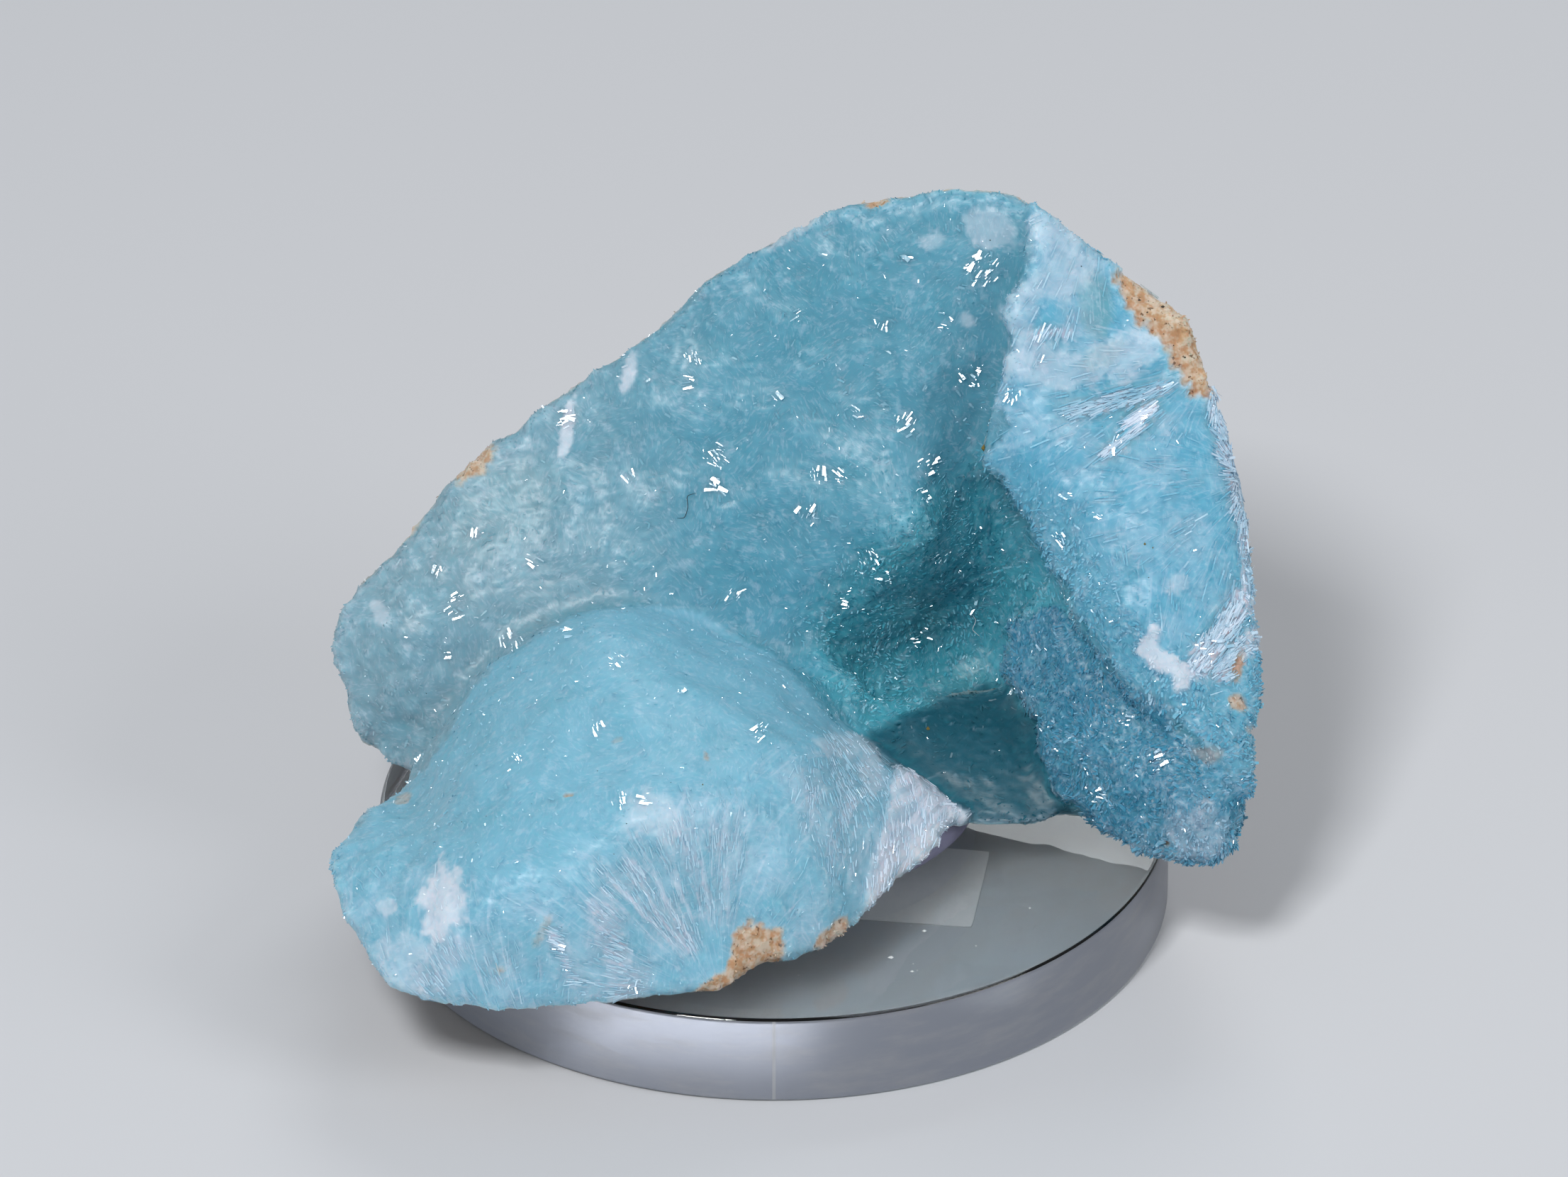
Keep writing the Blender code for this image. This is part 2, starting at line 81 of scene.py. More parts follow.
# %% [markdown]
# Growth on a mineral is never even, so nearly everything here is stirred by noise. Blender's own
# noise works one point at a time; these two work on whole arrays. The first is smooth noise, a
# random number at each lattice corner faded into its neighbours. The second finds each point's
# cell, the nearest of a scatter of seeds, which is what packed crystals look like.

# %% Noise on whole arrays
def scrambled(i, j, k, salt):
    """A repeatable random number from 0 to 1 for each lattice corner, by integer scrambling."""
    mixed = i * 374761393 + j * 668265263 + k * 1440662683 + salt * 1274126177
    mixed = mixed.astype(np.uint32)
    mixed = (mixed ^ (mixed >> np.uint32(13))) * np.uint32(1274126177)
    mixed = (mixed ^ (mixed >> np.uint32(16))) * np.uint32(2246822519)
    return (mixed ^ (mixed >> np.uint32(15))).astype(np.float64) / 2**32


def smooth_noise(places, size, salt):
    """Noise from -1 to 1: lattice values blended by 6t^5 - 15t^4 + 10t^3 along each axis."""
    scaled = places / size
    base = np.floor(scaled).astype(np.int64)
    t = scaled - base
    fade = t * t * t * (t * (t * 6 - 15) + 10)
    total = np.zeros(len(places))
    for corner in np.ndindex(2, 2, 2):
        weight = np.prod(np.where(corner, fade, 1 - fade), axis=1)
        at = base + np.array(corner)
        total += weight * scrambled(at[:, 0], at[:, 1], at[:, 2], salt)
    return total * 2 - 1


def layered_noise(places, size, salt, layers=3):
    """Smooth noise plus the same at half the size and half the strength, and so on."""
    total = sum(smooth_noise(places, size / 2**n, salt + n) / 2**n for n in range(layers))
    return total / (2 - 2.0 ** (1 - layers))


def cells(places, size, salt):
    """Nearest seed of a jittered lattice: its distance, the offset from it, and its random triple."""
    scaled = places / size
    base = np.floor(scaled).astype(np.int64)
    first = np.full(len(places), 9.0)
    offset = np.zeros_like(places)
    lot = np.zeros_like(places)
    for shift in np.ndindex(3, 3, 3):
        at = base + np.array(shift) - 1
        draw = np.stack([scrambled(at[:, 0], at[:, 1], at[:, 2], salt + n) for n in range(3)], axis=1)
        away = scaled - (at + draw)
        distance = np.sqrt((away**2).sum(axis=1))
        nearer = distance < first
        offset = np.where(nearer[:, None], away, offset)
        lot = np.where(nearer[:, None], (draw * 7.31) % 1.0, lot)
        first = np.where(nearer, distance, first)
    return first, offset, lot


# %% [markdown]
# The skin of the stone starts as the imported solid itself, so its place and outline stay true.
# That solid is coarse on purpose. A voxel remesh at a quarter of a millimetre gives it an even,
# closed net fine enough to carry crystals, and the outer rind, which needs less, is thinned
# again. It stays one closed body, because light has to travel through one closed body for the
# stone to look translucent.

# %% Helpers for meshes as arrays
def rows_of(items, key, width, kind=float):
    """A mesh's vertices, edges or triangles as an array, one row of width numbers for each."""
    flat = np.empty(len(items) * width, dtype=kind)
    items.foreach_get(key, flat)
    return flat.reshape(-1, width)


def points_of(mesh):
    """Vertex places as x, y, z rows."""
    return rows_of(mesh.vertices, "co", 3)


def normals_of(mesh):
    """Vertex normals as x, y, z rows."""
    return rows_of(mesh.vertex_normals, "vector", 3)


def edges_of(mesh):
    """Each edge's two vertex numbers."""
    return rows_of(mesh.edges, "vertices", 2, np.int32)


def triangles_of(mesh):
    """Each triangle's three vertex numbers, quads cut in two."""
    mesh.calc_loop_triangles()
    return rows_of(mesh.loop_triangles, "vertices", 3, np.int32)


def placed(name, mesh):
    """The mesh as an object at the origin, riding on the model."""
    made = bpy.data.objects.new(name, mesh)
    bpy.context.scene.collection.objects.link(made)
    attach(made, "root")
    return made


def as_modified(obj, name):
    """A new mesh that holds what the object looks like with its modifiers; the object goes."""
    graph = bpy.context.evaluated_depsgraph_get()
    mesh = bpy.data.meshes.new_from_object(obj.evaluated_get(graph))
    bpy.data.objects.remove(obj)
    mesh.name = name
    return mesh


def relaxed(points, edges, rounds, share=0.5):
    """Each round moves a point by a share of the way to the mean of its neighbours."""
    count = len(points)
    ends = np.concatenate([edges[:, 0], edges[:, 1]])
    others = np.concatenate([edges[:, 1], edges[:, 0]])
    degree = np.maximum(np.bincount(ends, minlength=count), 1)
    for _ in range(rounds):
        sums = [np.bincount(ends, weights=points[others, axis], minlength=count) for axis in range(3)]
        mean = np.stack(sums, axis=1) / degree[:, None]
        points = points + (mean - points) * share
    return points


# %% The stone's fine skin
SKIN_GRAIN = 0.24 * MM
SKIN_TRIANGLES = 192000


def fine_skin():
    """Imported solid, merged, voxel remeshed, smoothed, and thinned where the rind needs less."""
    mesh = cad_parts["hemimorphite"].data.copy()
    work = bmesh.new()
    work.from_mesh(mesh)
    bmesh.ops.remove_doubles(work, verts=work.verts, dist=0.002 * MM)
    work.to_mesh(mesh)
    work.free()
    mesh.materials.clear()
    draft = bpy.data.objects.new("skin_draft", mesh)
    bpy.context.scene.collection.objects.link(draft)
    remesh = draft.modifiers.new("net", "REMESH")
    remesh.mode = "VOXEL"
    remesh.voxel_size = SKIN_GRAIN
    mesh = as_modified(draft, "skin_net")
    smooth = relaxed(points_of(mesh), edges_of(mesh), 9)
    mesh.vertices.foreach_set("co", smooth.ravel())
    mesh.update()
    draft = bpy.data.objects.new("skin_draft", mesh)
    bpy.context.scene.collection.objects.link(draft)
    facing = -(normals_of(mesh) @ SIGHT)
    rind = 1 - step(facing, -0.25, 0.05)
    group = draft.vertex_groups.new(name="thin_here")
    for level in range(1, 5):
        chosen = np.nonzero(np.ceil(rind * 4) == level)[0]
        group.add(chosen.tolist(), level / 4, "REPLACE")
    faces = 2 * len(mesh.polygons)
    thin = draft.modifiers.new("fewer", "DECIMATE")
    thin.ratio = min(1.0, SKIN_TRIANGLES / faces)
    thin.vertex_group = "thin_here"
    thin.vertex_group_factor = 10.0
    print("skin before thinning:", faces, "triangles")
    return as_modified(draft, "stone_skin")


skin = fine_skin()
print("skin after thinning:", len(triangles_of(skin)), "triangles")

# %% [markdown]
# Where each look belongs. The photo shows druse, the crystal skin of the hollow and the mound;
# silk, where the crust is broken across its fibres; milk, the cloudy white patches; and stain, the
# tan rock that clings to the edges. Each is a mask from 0 to 1, made from a few ovals, bands and
# outlines in sight coordinates. Noise makes their edges ragged, as crystals do.

# %% Tools for masks
def ovals(seen, shapes, ragged):
    """Each oval is (across, up, half width, half height, turn, strength): 1 inside, 0 outside."""
    mask = np.zeros(len(seen))
    for across, up, half_width, half_height, turn, strength in shapes:
        c, s = math.cos(math.radians(turn)), math.sin(math.radians(turn))
        dx, dy = seen[:, 0] - across, seen[:, 1] - up
        reach = np.hypot((dx * c + dy * s) / half_width, (dy * c - dx * s) / half_height)
        mask = np.maximum(mask, strength * (1 - step(reach + ragged, 0.7, 1.15)))
    return mask


def band(seen, route, half_width, ragged, strength=1.0):
    """1 near a bent line, by the distance to each of its straight pieces, fading to 0 past its width."""
    reach = np.full(len(seen), 1e9)
    for start, end in zip(route, route[1:]):
        start, along = np.array(start), np.array(end) - np.array(start)
        share = np.clip(((seen[:, :2] - start) @ along) / (along @ along), 0, 1)
        away = seen[:, :2] - start - share[:, None] * along
        reach = np.minimum(reach, np.hypot(away[:, 0], away[:, 1]))
    return strength * (1 - step(reach / half_width + ragged, 0.7, 1.2))


def spray(seen, centre, turns, reaches, strength, salt):
    """Rays out of a centre, between two angles in degrees and two distances in mm, broken up by noise."""
    dx, dy = seen[:, 0] - centre[0], seen[:, 1] - centre[1]
    turn, reach = np.degrees(np.arctan2(dy, dx)), np.hypot(dx, dy)
    rays = layered_noise(np.stack([turn * 0.42, reach * 0.22, seen[:, 2] * 0.05], axis=1), 1.0, salt, 3)
    inside = step(turn, turns[0] - 3, turns[0] + 3) * (1 - step(turn, turns[1] - 3, turns[1] + 3))
    inside = inside * step(reach, reaches[0], reaches[0] + 2)
    inside = inside * (1 - step(reach, reaches[1] - 5, reaches[1]))
    return strength * inside * step(rays, -0.75, 0.55)


def depth_inside(seen, outline):
    """Millimetres inside a closed outline, negative outside: the distance to the nearest side."""
    corners = np.array(outline, float)
    nexts = np.roll(corners, -1, axis=0)
    reach = np.full(len(seen), 1e9)
    odd = np.zeros(len(seen), bool)
    for (ax, ay), (bx, by) in zip(corners, nexts):
        dx, dy = bx - ax, by - ay
        share = np.clip(((seen[:, 0] - ax) * dx + (seen[:, 1] - ay) * dy) / (dx * dx + dy * dy), 0, 1)
        away = np.hypot(seen[:, 0] - ax - share * dx, seen[:, 1] - ay - share * dy)
        reach = np.minimum(reach, away)
        if dy:
            crosses = (ay > seen[:, 1]) != (by > seen[:, 1])
            odd ^= crosses & (seen[:, 0] < (seen[:, 1] - ay) * dx / dy + ax)
    return np.where(odd, reach, -reach)


# %% The places of each look, in mm across and up
BROKEN_WALL = [
    (16.0, 38.5), (16.2, 34.6), (15.4, 32.6), (14.4, 31.2), (15.0, 29.2), (14.2, 25.5), (14.7, 24.1),
    (13.3, 22.0), (15.0, 20.1), (15.1, 19.0), (16.3, 18.2), (16.5, 16.9), (17.7, 14.8), (18.6, 13.6),
    (18.9, 12.1), (20.9, 10.1), (21.2, 8.9), (23.4, 7.4), (24.6, 7.1), (25.1, 5.4), (27.6, 3.7),
    (28.4, 2.2), (32.0, 2.5), (32.0, 20.0), (27.5, 33.0), (20.0, 38.5),
]
MOUND = [
    (-28.5, -3.6), (-26.7, -1.4), (-23.0, 1.6), (-21.6, 2.6), (-20.0, 5.4), (-19.0, 7.4), (-17.6, 9.2),
    (-15.3, 10.6), (-13.0, 12.0), (-10.6, 12.6), (-7.6, 12.8), (-4.8, 12.2), (-2.0, 10.6), (0.6, 8.8),
    (2.4, 7.2), (3.8, 5.6), (4.8, 4.9), (6.4, 4.1), (8.4, 2.6), (12.4, -0.2), (10.0, -6.0),
    (0.0, -13.5), (-28.0, -14.5),
]
HANGING = [
    (14.9, 11.6), (15.2, 10.2), (14.7, 8.4), (16.4, 6.2), (17.0, 4.7), (16.7, 3.5), (17.7, 1.2),
    (19.1, 0.4), (20.4, -1.2), (22.7, -2.6), (25.4, -4.0), (30.0, -4.0), (30.4, 3.2), (28.4, 2.2),
    (27.6, 3.7), (25.1, 5.4), (24.6, 7.1), (23.4, 7.4), (21.2, 8.9), (20.9, 10.1), (18.9, 12.1),
    (17.0, 12.8),
]
HOLLOW = [
    (3.6, 14.6), (7.0, 18.0), (10.4, 20.6), (13.0, 22.4), (16.0, 18.6), (18.0, 14.2), (19.0, 11.8),
    (15.4, 11.6), (14.8, 8.6), (16.4, 6.0), (17.4, 1.2), (20.4, -1.0), (14.4, -2.2), (9.4, 0.0),
    (6.2, 3.6), (4.0, 6.0), (2.6, 8.0), (2.0, 11.0),
]
FLOOR_LOBE = [
    (5.4, 4.2), (8.0, 6.2), (11.6, 7.4), (14.6, 7.8), (16.6, 5.4), (17.6, 1.0), (20.4, -1.2),
    (14.4, -2.4), (9.6, -0.4), (7.4, 2.6),
]
BROKEN_FRONT = [
    (-28.5, -4.0), (-22.0, -3.6), (-15.0, -4.2), (-9.6, -2.2), (-6.8, 0.9), (-3.0, 1.4), (0.0, 3.6),
    (2.3, 3.4), (3.5, 4.9), (6.4, 4.4), (8.6, 2.9), (12.6, 0.2), (10.0, -6.0), (0.0, -13.5),
    (-28.0, -14.5),
]
WING = [
    (7.6, 2.6), (9.0, 2.0), (12.2, -0.4), (9.8, -2.8), (7.6, -5.4), (5.6, -7.4), (5.6, -5.0),
    (6.6, -1.0),
]
MILK_CLOUD = [
    (15.9, 36.6), (17.4, 36.9), (19.2, 35.6), (20.4, 34.2), (19.0, 32.8), (18.4, 31.0), (17.0, 32.4),
    (16.2, 31.8), (16.2, 30.2), (17.4, 29.4), (19.0, 28.4), (19.4, 27.2), (18.5, 25.9), (17.2, 26.4),
    (14.7, 27.6), (14.9, 29.3), (14.2, 31.0), (15.2, 32.4), (16.3, 34.0),
]
MILK_CHIP = [
    (23.6, 11.6), (24.1, 11.2), (24.2, 10.2), (25.4, 9.4), (26.1, 8.1), (25.8, 7.4), (25.1, 7.4),
    (24.8, 8.4), (23.7, 8.9), (22.9, 9.9), (23.1, 10.7),
]
MILK_PATCHES = [
    (22.0, 28.4, 3.2, 1.5, 24, 0.50), (25.1, 14.2, 0.9, 0.7, 20, 0.45), (12.1, 30.7, 0.6, 0.7, 0, 0.55),
    (10.0, 35.6, 0.9, 0.6, 0, 0.4), (13.4, 36.4, 2.4, 1.2, -20, 0.45), (-9.3, 27.2, 0.5, 1.7, -12, 0.8),
    (-13.1, 23.6, 0.45, 1.9, -12, 0.9), (-20.5, -5.7, 1.8, 2.2, 10, 1.0), (-24.0, -5.9, 0.6, 0.5, 0, 0.6),
    (-22.8, -9.0, 1.6, 1.8, 20, 0.45), (-24.9, 12.3, 0.5, 0.9, 30, 0.5), (26.2, -1.2, 2.2, 1.6, 0, 0.3),
    (4.4, 4.0, 1.9, 0.8, 0, 0.45), (6.0, 2.6, 0.7, 1.6, 0, 0.45), (-7.4, -0.2, 1.7, 1.6, -10, 0.5),
    (-5.4, 36.2, 0.4, 0.3, 0, 0.4), (1.2, 36.2, 2.6, 0.35, 30, 0.5),
]
SILK_BANDS = [
    ([(-8.8, -3.4), (-7.4, -5.4), (-5.2, -8.4)], 0.5, 0.6),
    ([(-10.6, -5.8), (-9.0, -11.4)], 1.0, 0.6),
    ([(-13.6, -7.4), (-12.8, -9.4)], 0.3, 0.8),
    ([(-19.8, -8.2), (-21.4, -11.2)], 0.9, 0.45),
    ([(29.3, 13.0), (26.4, 8.8)], 0.9, 0.9),
    ([(29.8, 10.8), (28.0, 8.6)], 0.8, 0.8),
    ([(27.4, 26.4), (28.9, 19.8), (29.9, 12.2)], 0.5, 0.8),
    ([(20.6, 22.2), (23.1, 24.1)], 0.28, 0.9),
    ([(22.1, 24.1), (23.7, 25.1)], 0.35, 1.0),
    ([(18.6, 24.9), (24.6, 26.4)], 0.5, 0.6),
    ([(16.4, 29.7), (18.6, 29.9)], 0.25, 0.6),
]
SPRAYS = [
    ((-3.0, -12.0), (110, 138), (3.0, 14.0), 0.8), ((-3.0, -12.0), (84, 108), (4.0, 16.0), 0.45),
    ((5.0, -13.0), (74, 104), (8.0, 19.0), 0.5), ((-3.0, -12.0), (148, 172), (4.0, 9.5), 0.5),
    ((-14.0, -20.0), (98, 128), (7.0, 15.0), 0.35), ((-14.0, -20.0), (60, 88), (8.0, 13.0), 0.35),
]
STAIN_PATCHES = [
    (3.3, -7.9, 1.5, 0.55, 42, 0.9), (29.0, 9.0, 0.35, 1.1, -14, 0.85), (29.0, 6.6, 0.6, 0.6, 0, 0.85),
    (6.3, 38.2, 1.1, 0.5, 0, 1.0), (-18.9, 21.9, 2.0, 0.75, 36, 0.9), (-23.2, 0.7, 0.6, 0.3, 20, 0.5),
    (-12.6, 1.0, 0.34, 0.13, 10, 0.9), (-4.2, 3.4, 0.16, 0.3, 0, 0.5), (-9.7, 4.4, 0.5, 0.2, 30, 0.3),
    (-16.9, -9.7, 0.4, 0.3, 20, 0.55), (-14.2, -7.2, 1.2, 0.22, 60, 0.3), (27.1, 3.4, 0.8, 0.6, 0, 0.35),
    (29.9, 4.9, 0.5, 0.5, 0, 0.5), (24.6, -2.0, 0.25, 0.2, 0, 0.9),
]
STAIN_FOOT = [
    (-4.8, -12.4), (-4.5, -10.9), (-3.4, -9.7), (-2.3, -7.7), (-1.6, -7.1), (0.3, -7.1), (0.8, -9.6),
    (-1.2, -11.4), (-3.0, -12.6),
]
STAIN_RIM = [
    (21.5, 33.2), (21.9, 34.0), (24.3, 32.6), (26.0, 31.4), (27.4, 28.6), (27.6, 26.0), (26.2, 25.9),
    (25.6, 27.5), (24.7, 28.7), (24.4, 29.5), (23.0, 30.7), (22.4, 31.7),
]
STAIN_EDGE = [(29.4, 20.0), (30.4, 12.0)]
GREENISH = [
    (20.0, 31.6, 1.2, 2.4, 10, 0.8), (20.6, 28.4, 1.6, 0.8, 30, 0.7), (-16.8, 19.0, 5.0, 2.4, 35, 0.22),
    (12.6, 6.0, 4.0, 2.6, 0, 0.5), (9.6, 12.0, 2.0, 2.0, 0, 0.35),
]
FAN_CENTRES = [
    (28.5, 28.5), (31.0, 21.0), (24.0, 6.0), (21.0, 39.0), (5.0, -13.0), (-3.0, -12.0), (-14.0, -20.0),
]
HOLLOW_CENTRE = np.array([0.012, -0.003, 0.021])


def looks_at(points, normals):
    """Every mask at these surface points, by name.

    Faces that look away from the viewer are rind, unless they look toward the middle of the hollow:
    those are lined with druse like the rest of it.
    """
    seen = sighted(points)
    first = cells(points, 0.62 * MM, 21)[0]
    ragged = 0.30 * layered_noise(points, 1.3 * MM, 20) + 0.14 * layered_noise(points, 0.35 * MM, 25, 2)
    scallop = 0.42 * (0.55 - first) + 0.35 * layered_noise(points, 1.5 * MM, 28, 2)
    facing = -(normals @ SIGHT) + 0.12 * layered_noise(points, 1.6 * MM, 30)
    away = 1 - step(facing, -0.12, 0.12)
    outer = np.maximum(step(seen[:, 2], 3.5, 7.0), step(-normals[:, 2], 0.05, 0.35))
    open_side = 1 - away * outer
    inward = HOLLOW_CENTRE - points
    reach = np.linalg.norm(inward, axis=1)
    toward = step((inward * normals).sum(axis=1) / reach, -0.3, 0.0) * (1 - step(reach, 19 * MM, 23 * MM))
    hidden = toward * (1 - open_side)
    lit_side = open_side
    open_side = np.maximum(open_side, hidden)
    near = step(-seen[:, 2], 2.0, 4.0)

    def within(outline, soft=0.3, stir=1.0):
        return step(depth_inside(seen, outline) + scallop * stir, -soft, soft)

    wall = within(BROKEN_WALL)
    mound = within(MOUND, 0.25, 0.7)
    hanging = within(HANGING, 0.25, 1.2)
    front = step(depth_inside(seen, BROKEN_FRONT) + 2.2 * ragged, -0.6, 0.6) * near
    wing = within(WING, 0.25, 0.4) * near
    milk = np.maximum(ovals(seen, MILK_PATCHES, 2 * ragged), 0.5 * within(MILK_CLOUD, 0.5, 1.8))
    milk = np.maximum(milk, within(MILK_CHIP, 0.12, 0.6))
    stain = np.maximum(ovals(seen, STAIN_PATCHES, 2 * ragged), within(STAIN_FOOT, 0.2, 1.8) * near)
    stain = np.maximum(stain, within(STAIN_RIM, 0.2, 1.6))
    stain = np.maximum(stain, band(seen, STAIN_EDGE, 0.35, ragged, 0.8))
    silk_white = wing
    for route, half_width, strength in SILK_BANDS:
        silk_white = np.maximum(silk_white, band(seen, route, half_width, 2 * ragged, strength))
    for number, (centre, turns, reaches, strength) in enumerate(SPRAYS):
        rays = spray(seen, centre, turns, reaches, strength, 300 + number * 7)
        silk_white = np.maximum(silk_white, rays * front)
    hollow = step(depth_inside(seen, HOLLOW) + 1.2 * ragged, -1.6, 2.2)
    margin = wall * (1 - step(depth_inside(seen, BROKEN_WALL) + 2 * ragged, 2.0, 4.5))
    margin = margin * (1 - step(seen[:, 1], 17.0, 25.0))
    alone = (1 - wall) * (1 - hanging) * (1 - mound)
    return {
        "silk": np.maximum(wall * (1 - margin), front) * lit_side,
        "silk_white": silk_white * lit_side,
        "milk": milk * lit_side,
        "stain": stain,
        "rind": 1 - open_side,
        "wall": wall * lit_side,
        "mound": mound * open_side,
        "hanging": hanging * (1 - wall) * open_side,
        # The hollow also marks where the colour is tinted deeper teal as painted shade.
        "hollow": np.maximum(hollow * alone * lit_side, hidden * 0.8),
        # The floor lobe is where the colour is darkened as painted shade.
        "floor": within(FLOOR_LOBE, 0.5) * open_side,
        "margin": margin * lit_side,
        "wing": wing,
        "greenish": ovals(seen, GREENISH, ragged) * open_side,
    }


MEAN_RADIUS = 11.0


def from_fan(flat):
    """For rows of across and up: the offset from the nearest fan's centre, and that fan's number."""
    away = flat[:, None, :] - np.array(FAN_CENTRES)[None, :, :]
    nearest = np.argmin(np.hypot(away[..., 0], away[..., 1]), axis=1)
    return away[np.arange(len(flat)), nearest], nearest


def fibre_places(points):
    """Fibre coordinates in mm: swing across the nearest fan, distance along it, and the fan's number.

    Swing is the angle round the fan's centre times a mean radius, so noise that is fine in the
    first number and coarse in the second draws streaks that spread out from that centre.
    """
    seen = sighted(points)
    warp = 0.5 * np.stack([layered_noise(points, 5 * MM, 40), layered_noise(points, 5 * MM, 44)], axis=1)
    away, nearest = from_fan(seen[:, :2] + warp)
    radius = np.hypot(away[:, 0], away[:, 1])
    swing = np.arctan2(away[:, 1], away[:, 0]) * MEAN_RADIUS
    return np.stack([swing + seen[:, 2] * 0.35, radius, nearest * 7.0], axis=1)


def unit(rows):
    """Each row scaled to length 1."""
    return rows / np.maximum(np.linalg.norm(rows, axis=1, keepdims=True), 1e-12)


def fibre_run(points):
    """Unit directions of the fibres in model space: away from the fan's centre, square to the sight."""
    run = unit(from_fan(sighted(points)[:, :2])[0])
    upward = np.array([0.0, math.sin(SIGHT_TILT), math.cos(SIGHT_TILT)])
    return run[:, :1] * np.array([1.0, 0.0, 0.0]) + run[:, 1:] * upward


# %% [markdown]
# Relief. Every vertex of the skin moves along its own normal by a height in millimetres that adds
# up what grew there. The druse is smooth to the eye, like gel, with soft lumps and faint scales.
# Where one lobe grew over another there is a step with a scalloped lip. Broken places have long
# grooves along their fibres, and the rind has coarse grains.

# %% Relief of the skin
LIP_HEIGHTS = {"mound": 0.05, "wall": 0.26, "hanging": 0.36, "wing": 0.25, "hollow": -0.25}
SCALE_SIZE = 0.85 * MM
SMALL_SCALE_SIZE = 0.42 * MM
LUMP_SIZE = 3.2 * MM
KNOB_SIZE = 1.5 * MM
SCALLOP_SIZE = 2.1 * MM
GRAIN_SIZE = 1.1 * MM


def relief(points, edge, looks):
    """Height in mm: lips, lumps, scales, grooves and grains, each times the mask of its place."""
    first, offset, lot = cells(points, SCALE_SIZE, 50)
    scales = 0.22 * ((lot - 0.5) * offset).sum(axis=1)
    small_first, small_offset, small_lot = cells(points, SMALL_SCALE_SIZE, 60)
    small_scales = 0.20 * ((small_lot - 0.5) * small_offset).sum(axis=1)
    lumps = 0.16 * layered_noise(points, LUMP_SIZE, 70, 2)
    sugary = np.clip(looks["hanging"] + 0.7 * looks["margin"] + 0.5 * looks["hollow"], 0, 1)
    sugary = sugary * (1 - 0.8 * looks["floor"])
    calm_mound = 1 - 0.3 * looks["mound"]
    druse = lumps + (scales + small_scales) * (0.50 + 0.9 * sugary) * calm_mound
    knobs = 0.16 * (0.5 - small_first) * sugary
    fibres = fibre_places(points)
    stretched = fibres * np.array([1.0, 0.14, 1.0])
    grooves = 0.11 * layered_noise(stretched, 0.85, 80, 3) + 0.12 * layered_noise(stretched, 2.6, 84, 2)
    silk = grooves * (0.30 + 0.20 * looks["silk_white"]) + 0.08 * layered_noise(points, 0.9 * MM, 88)
    silk = silk + 0.5 * (scales + small_scales)
    big_first = cells(points, SCALLOP_SIZE, 98)[0]
    scallops = (0.40 * (0.42 - np.minimum(first, 0.8) ** 2) + 0.55 * (0.5 - big_first)) * edge
    grain_first = cells(points, GRAIN_SIZE, 90)[0]
    grains = 0.26 * (0.5 - grain_first) + 0.22 * layered_noise(points, 2 * GRAIN_SIZE, 94, 4)
    grains = grains + 0.20 * (0.5 - small_first)
    crystal = (druse + knobs) * (1 - looks["silk"]) * (1 - 0.6 * looks["milk"]) + silk * looks["silk"]
    knobby = step(-sighted(points)[:, 0], 15.0, 23.0) * (1 - looks["mound"] * 0.4)
    crystal = crystal + 0.34 * (0.5 - cells(points, KNOB_SIZE, 110)[0]) * knobby
    lips = sum(height * looks[name] for name, height in LIP_HEIGHTS.items())
    rock = np.clip(looks["rind"] + looks["stain"], 0, 1)
    milk_rise = 0.12 * looks["milk"] * looks["wall"]
    return (crystal + lips + milk_rise) * (1 - rock) + grains * rock + scallops * (1 - looks["rind"])


def store(mesh, name, values):
    """Keeps one number, or one row of three, for each vertex, for the materials to read."""
    kind = "FLOAT" if values.ndim == 1 else "FLOAT_VECTOR"
    layer = mesh.attributes.new(name, kind, "POINT")
    layer.data.foreach_set("value" if values.ndim == 1 else "vector", values.astype(np.float32).ravel())


MASK_NAMES = (
    "silk", "silk_white", "milk", "stain", "rind", "edge", "crease_shade", "mound", "wall", "hanging", "hollow",
    "floor", "greenish",
)


def dress_skin(mesh):
    """Moves the skin by its relief and stores its masks."""
    points = points_of(mesh)
    normals = normals_of(mesh)
    edges = edges_of(mesh)
    calm = relaxed(points, edges, 30)
    looks = looks_at(points, normals)
    rise = ((points - calm) * normals).sum(axis=1) / MM
    looks["edge"] = step(rise, 0.03, 0.18)
    height = relief(points, looks["edge"], looks)
    free = step(points[:, 2], DISC_TOP + 2.1 * MM, DISC_TOP + 3.0 * MM)
    overhang = step(np.hypot(points[:, 0], points[:, 1]), 14 * MM, 16 * MM)
    overhang = overhang * step(points[:, 2], DISC_TOP + 0.5 * MM, DISC_TOP + 1.2 * MM)
    height = height * np.maximum(free, overhang * 0.8)
    points = points + normals * (height * MM)[:, None]
    mesh.vertices.foreach_set("co", points.ravel())
    calm = relaxed(points, edges, 8)
    rise = ((points - calm) * normals).sum(axis=1) / MM
    looks["edge"] = np.maximum(looks["edge"] * 0.7, step(rise, 0.02, 0.12))
    # Dips of the relief, where the colour is darkened as painted shade.
    looks["crease_shade"] = step(-rise, 0.01, 0.09)
    for name in MASK_NAMES:
        store(mesh, name, looks[name])
    store(mesh, "fibre", fibre_places(points))
    store(mesh, "lot", np.full(len(points), 0.5))
    mesh.update()
    mesh.shade_smooth()
    print("relief in mm:", round(float(height.min()), 2), "to", round(float(height.max()), 2))
    return looks


skin_looks = dress_skin(skin)
stone = placed("hemimorphite_skin", skin)
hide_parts("hemimorphite")

# %% [markdown]
# Materials are node graphs. So that the colour maths can be read as maths, a small class wraps a
# shader socket: writing `1 - mask * 0.5` adds the Math nodes for it. Every other node comes from
# one method that takes its type, its settings and its inputs.

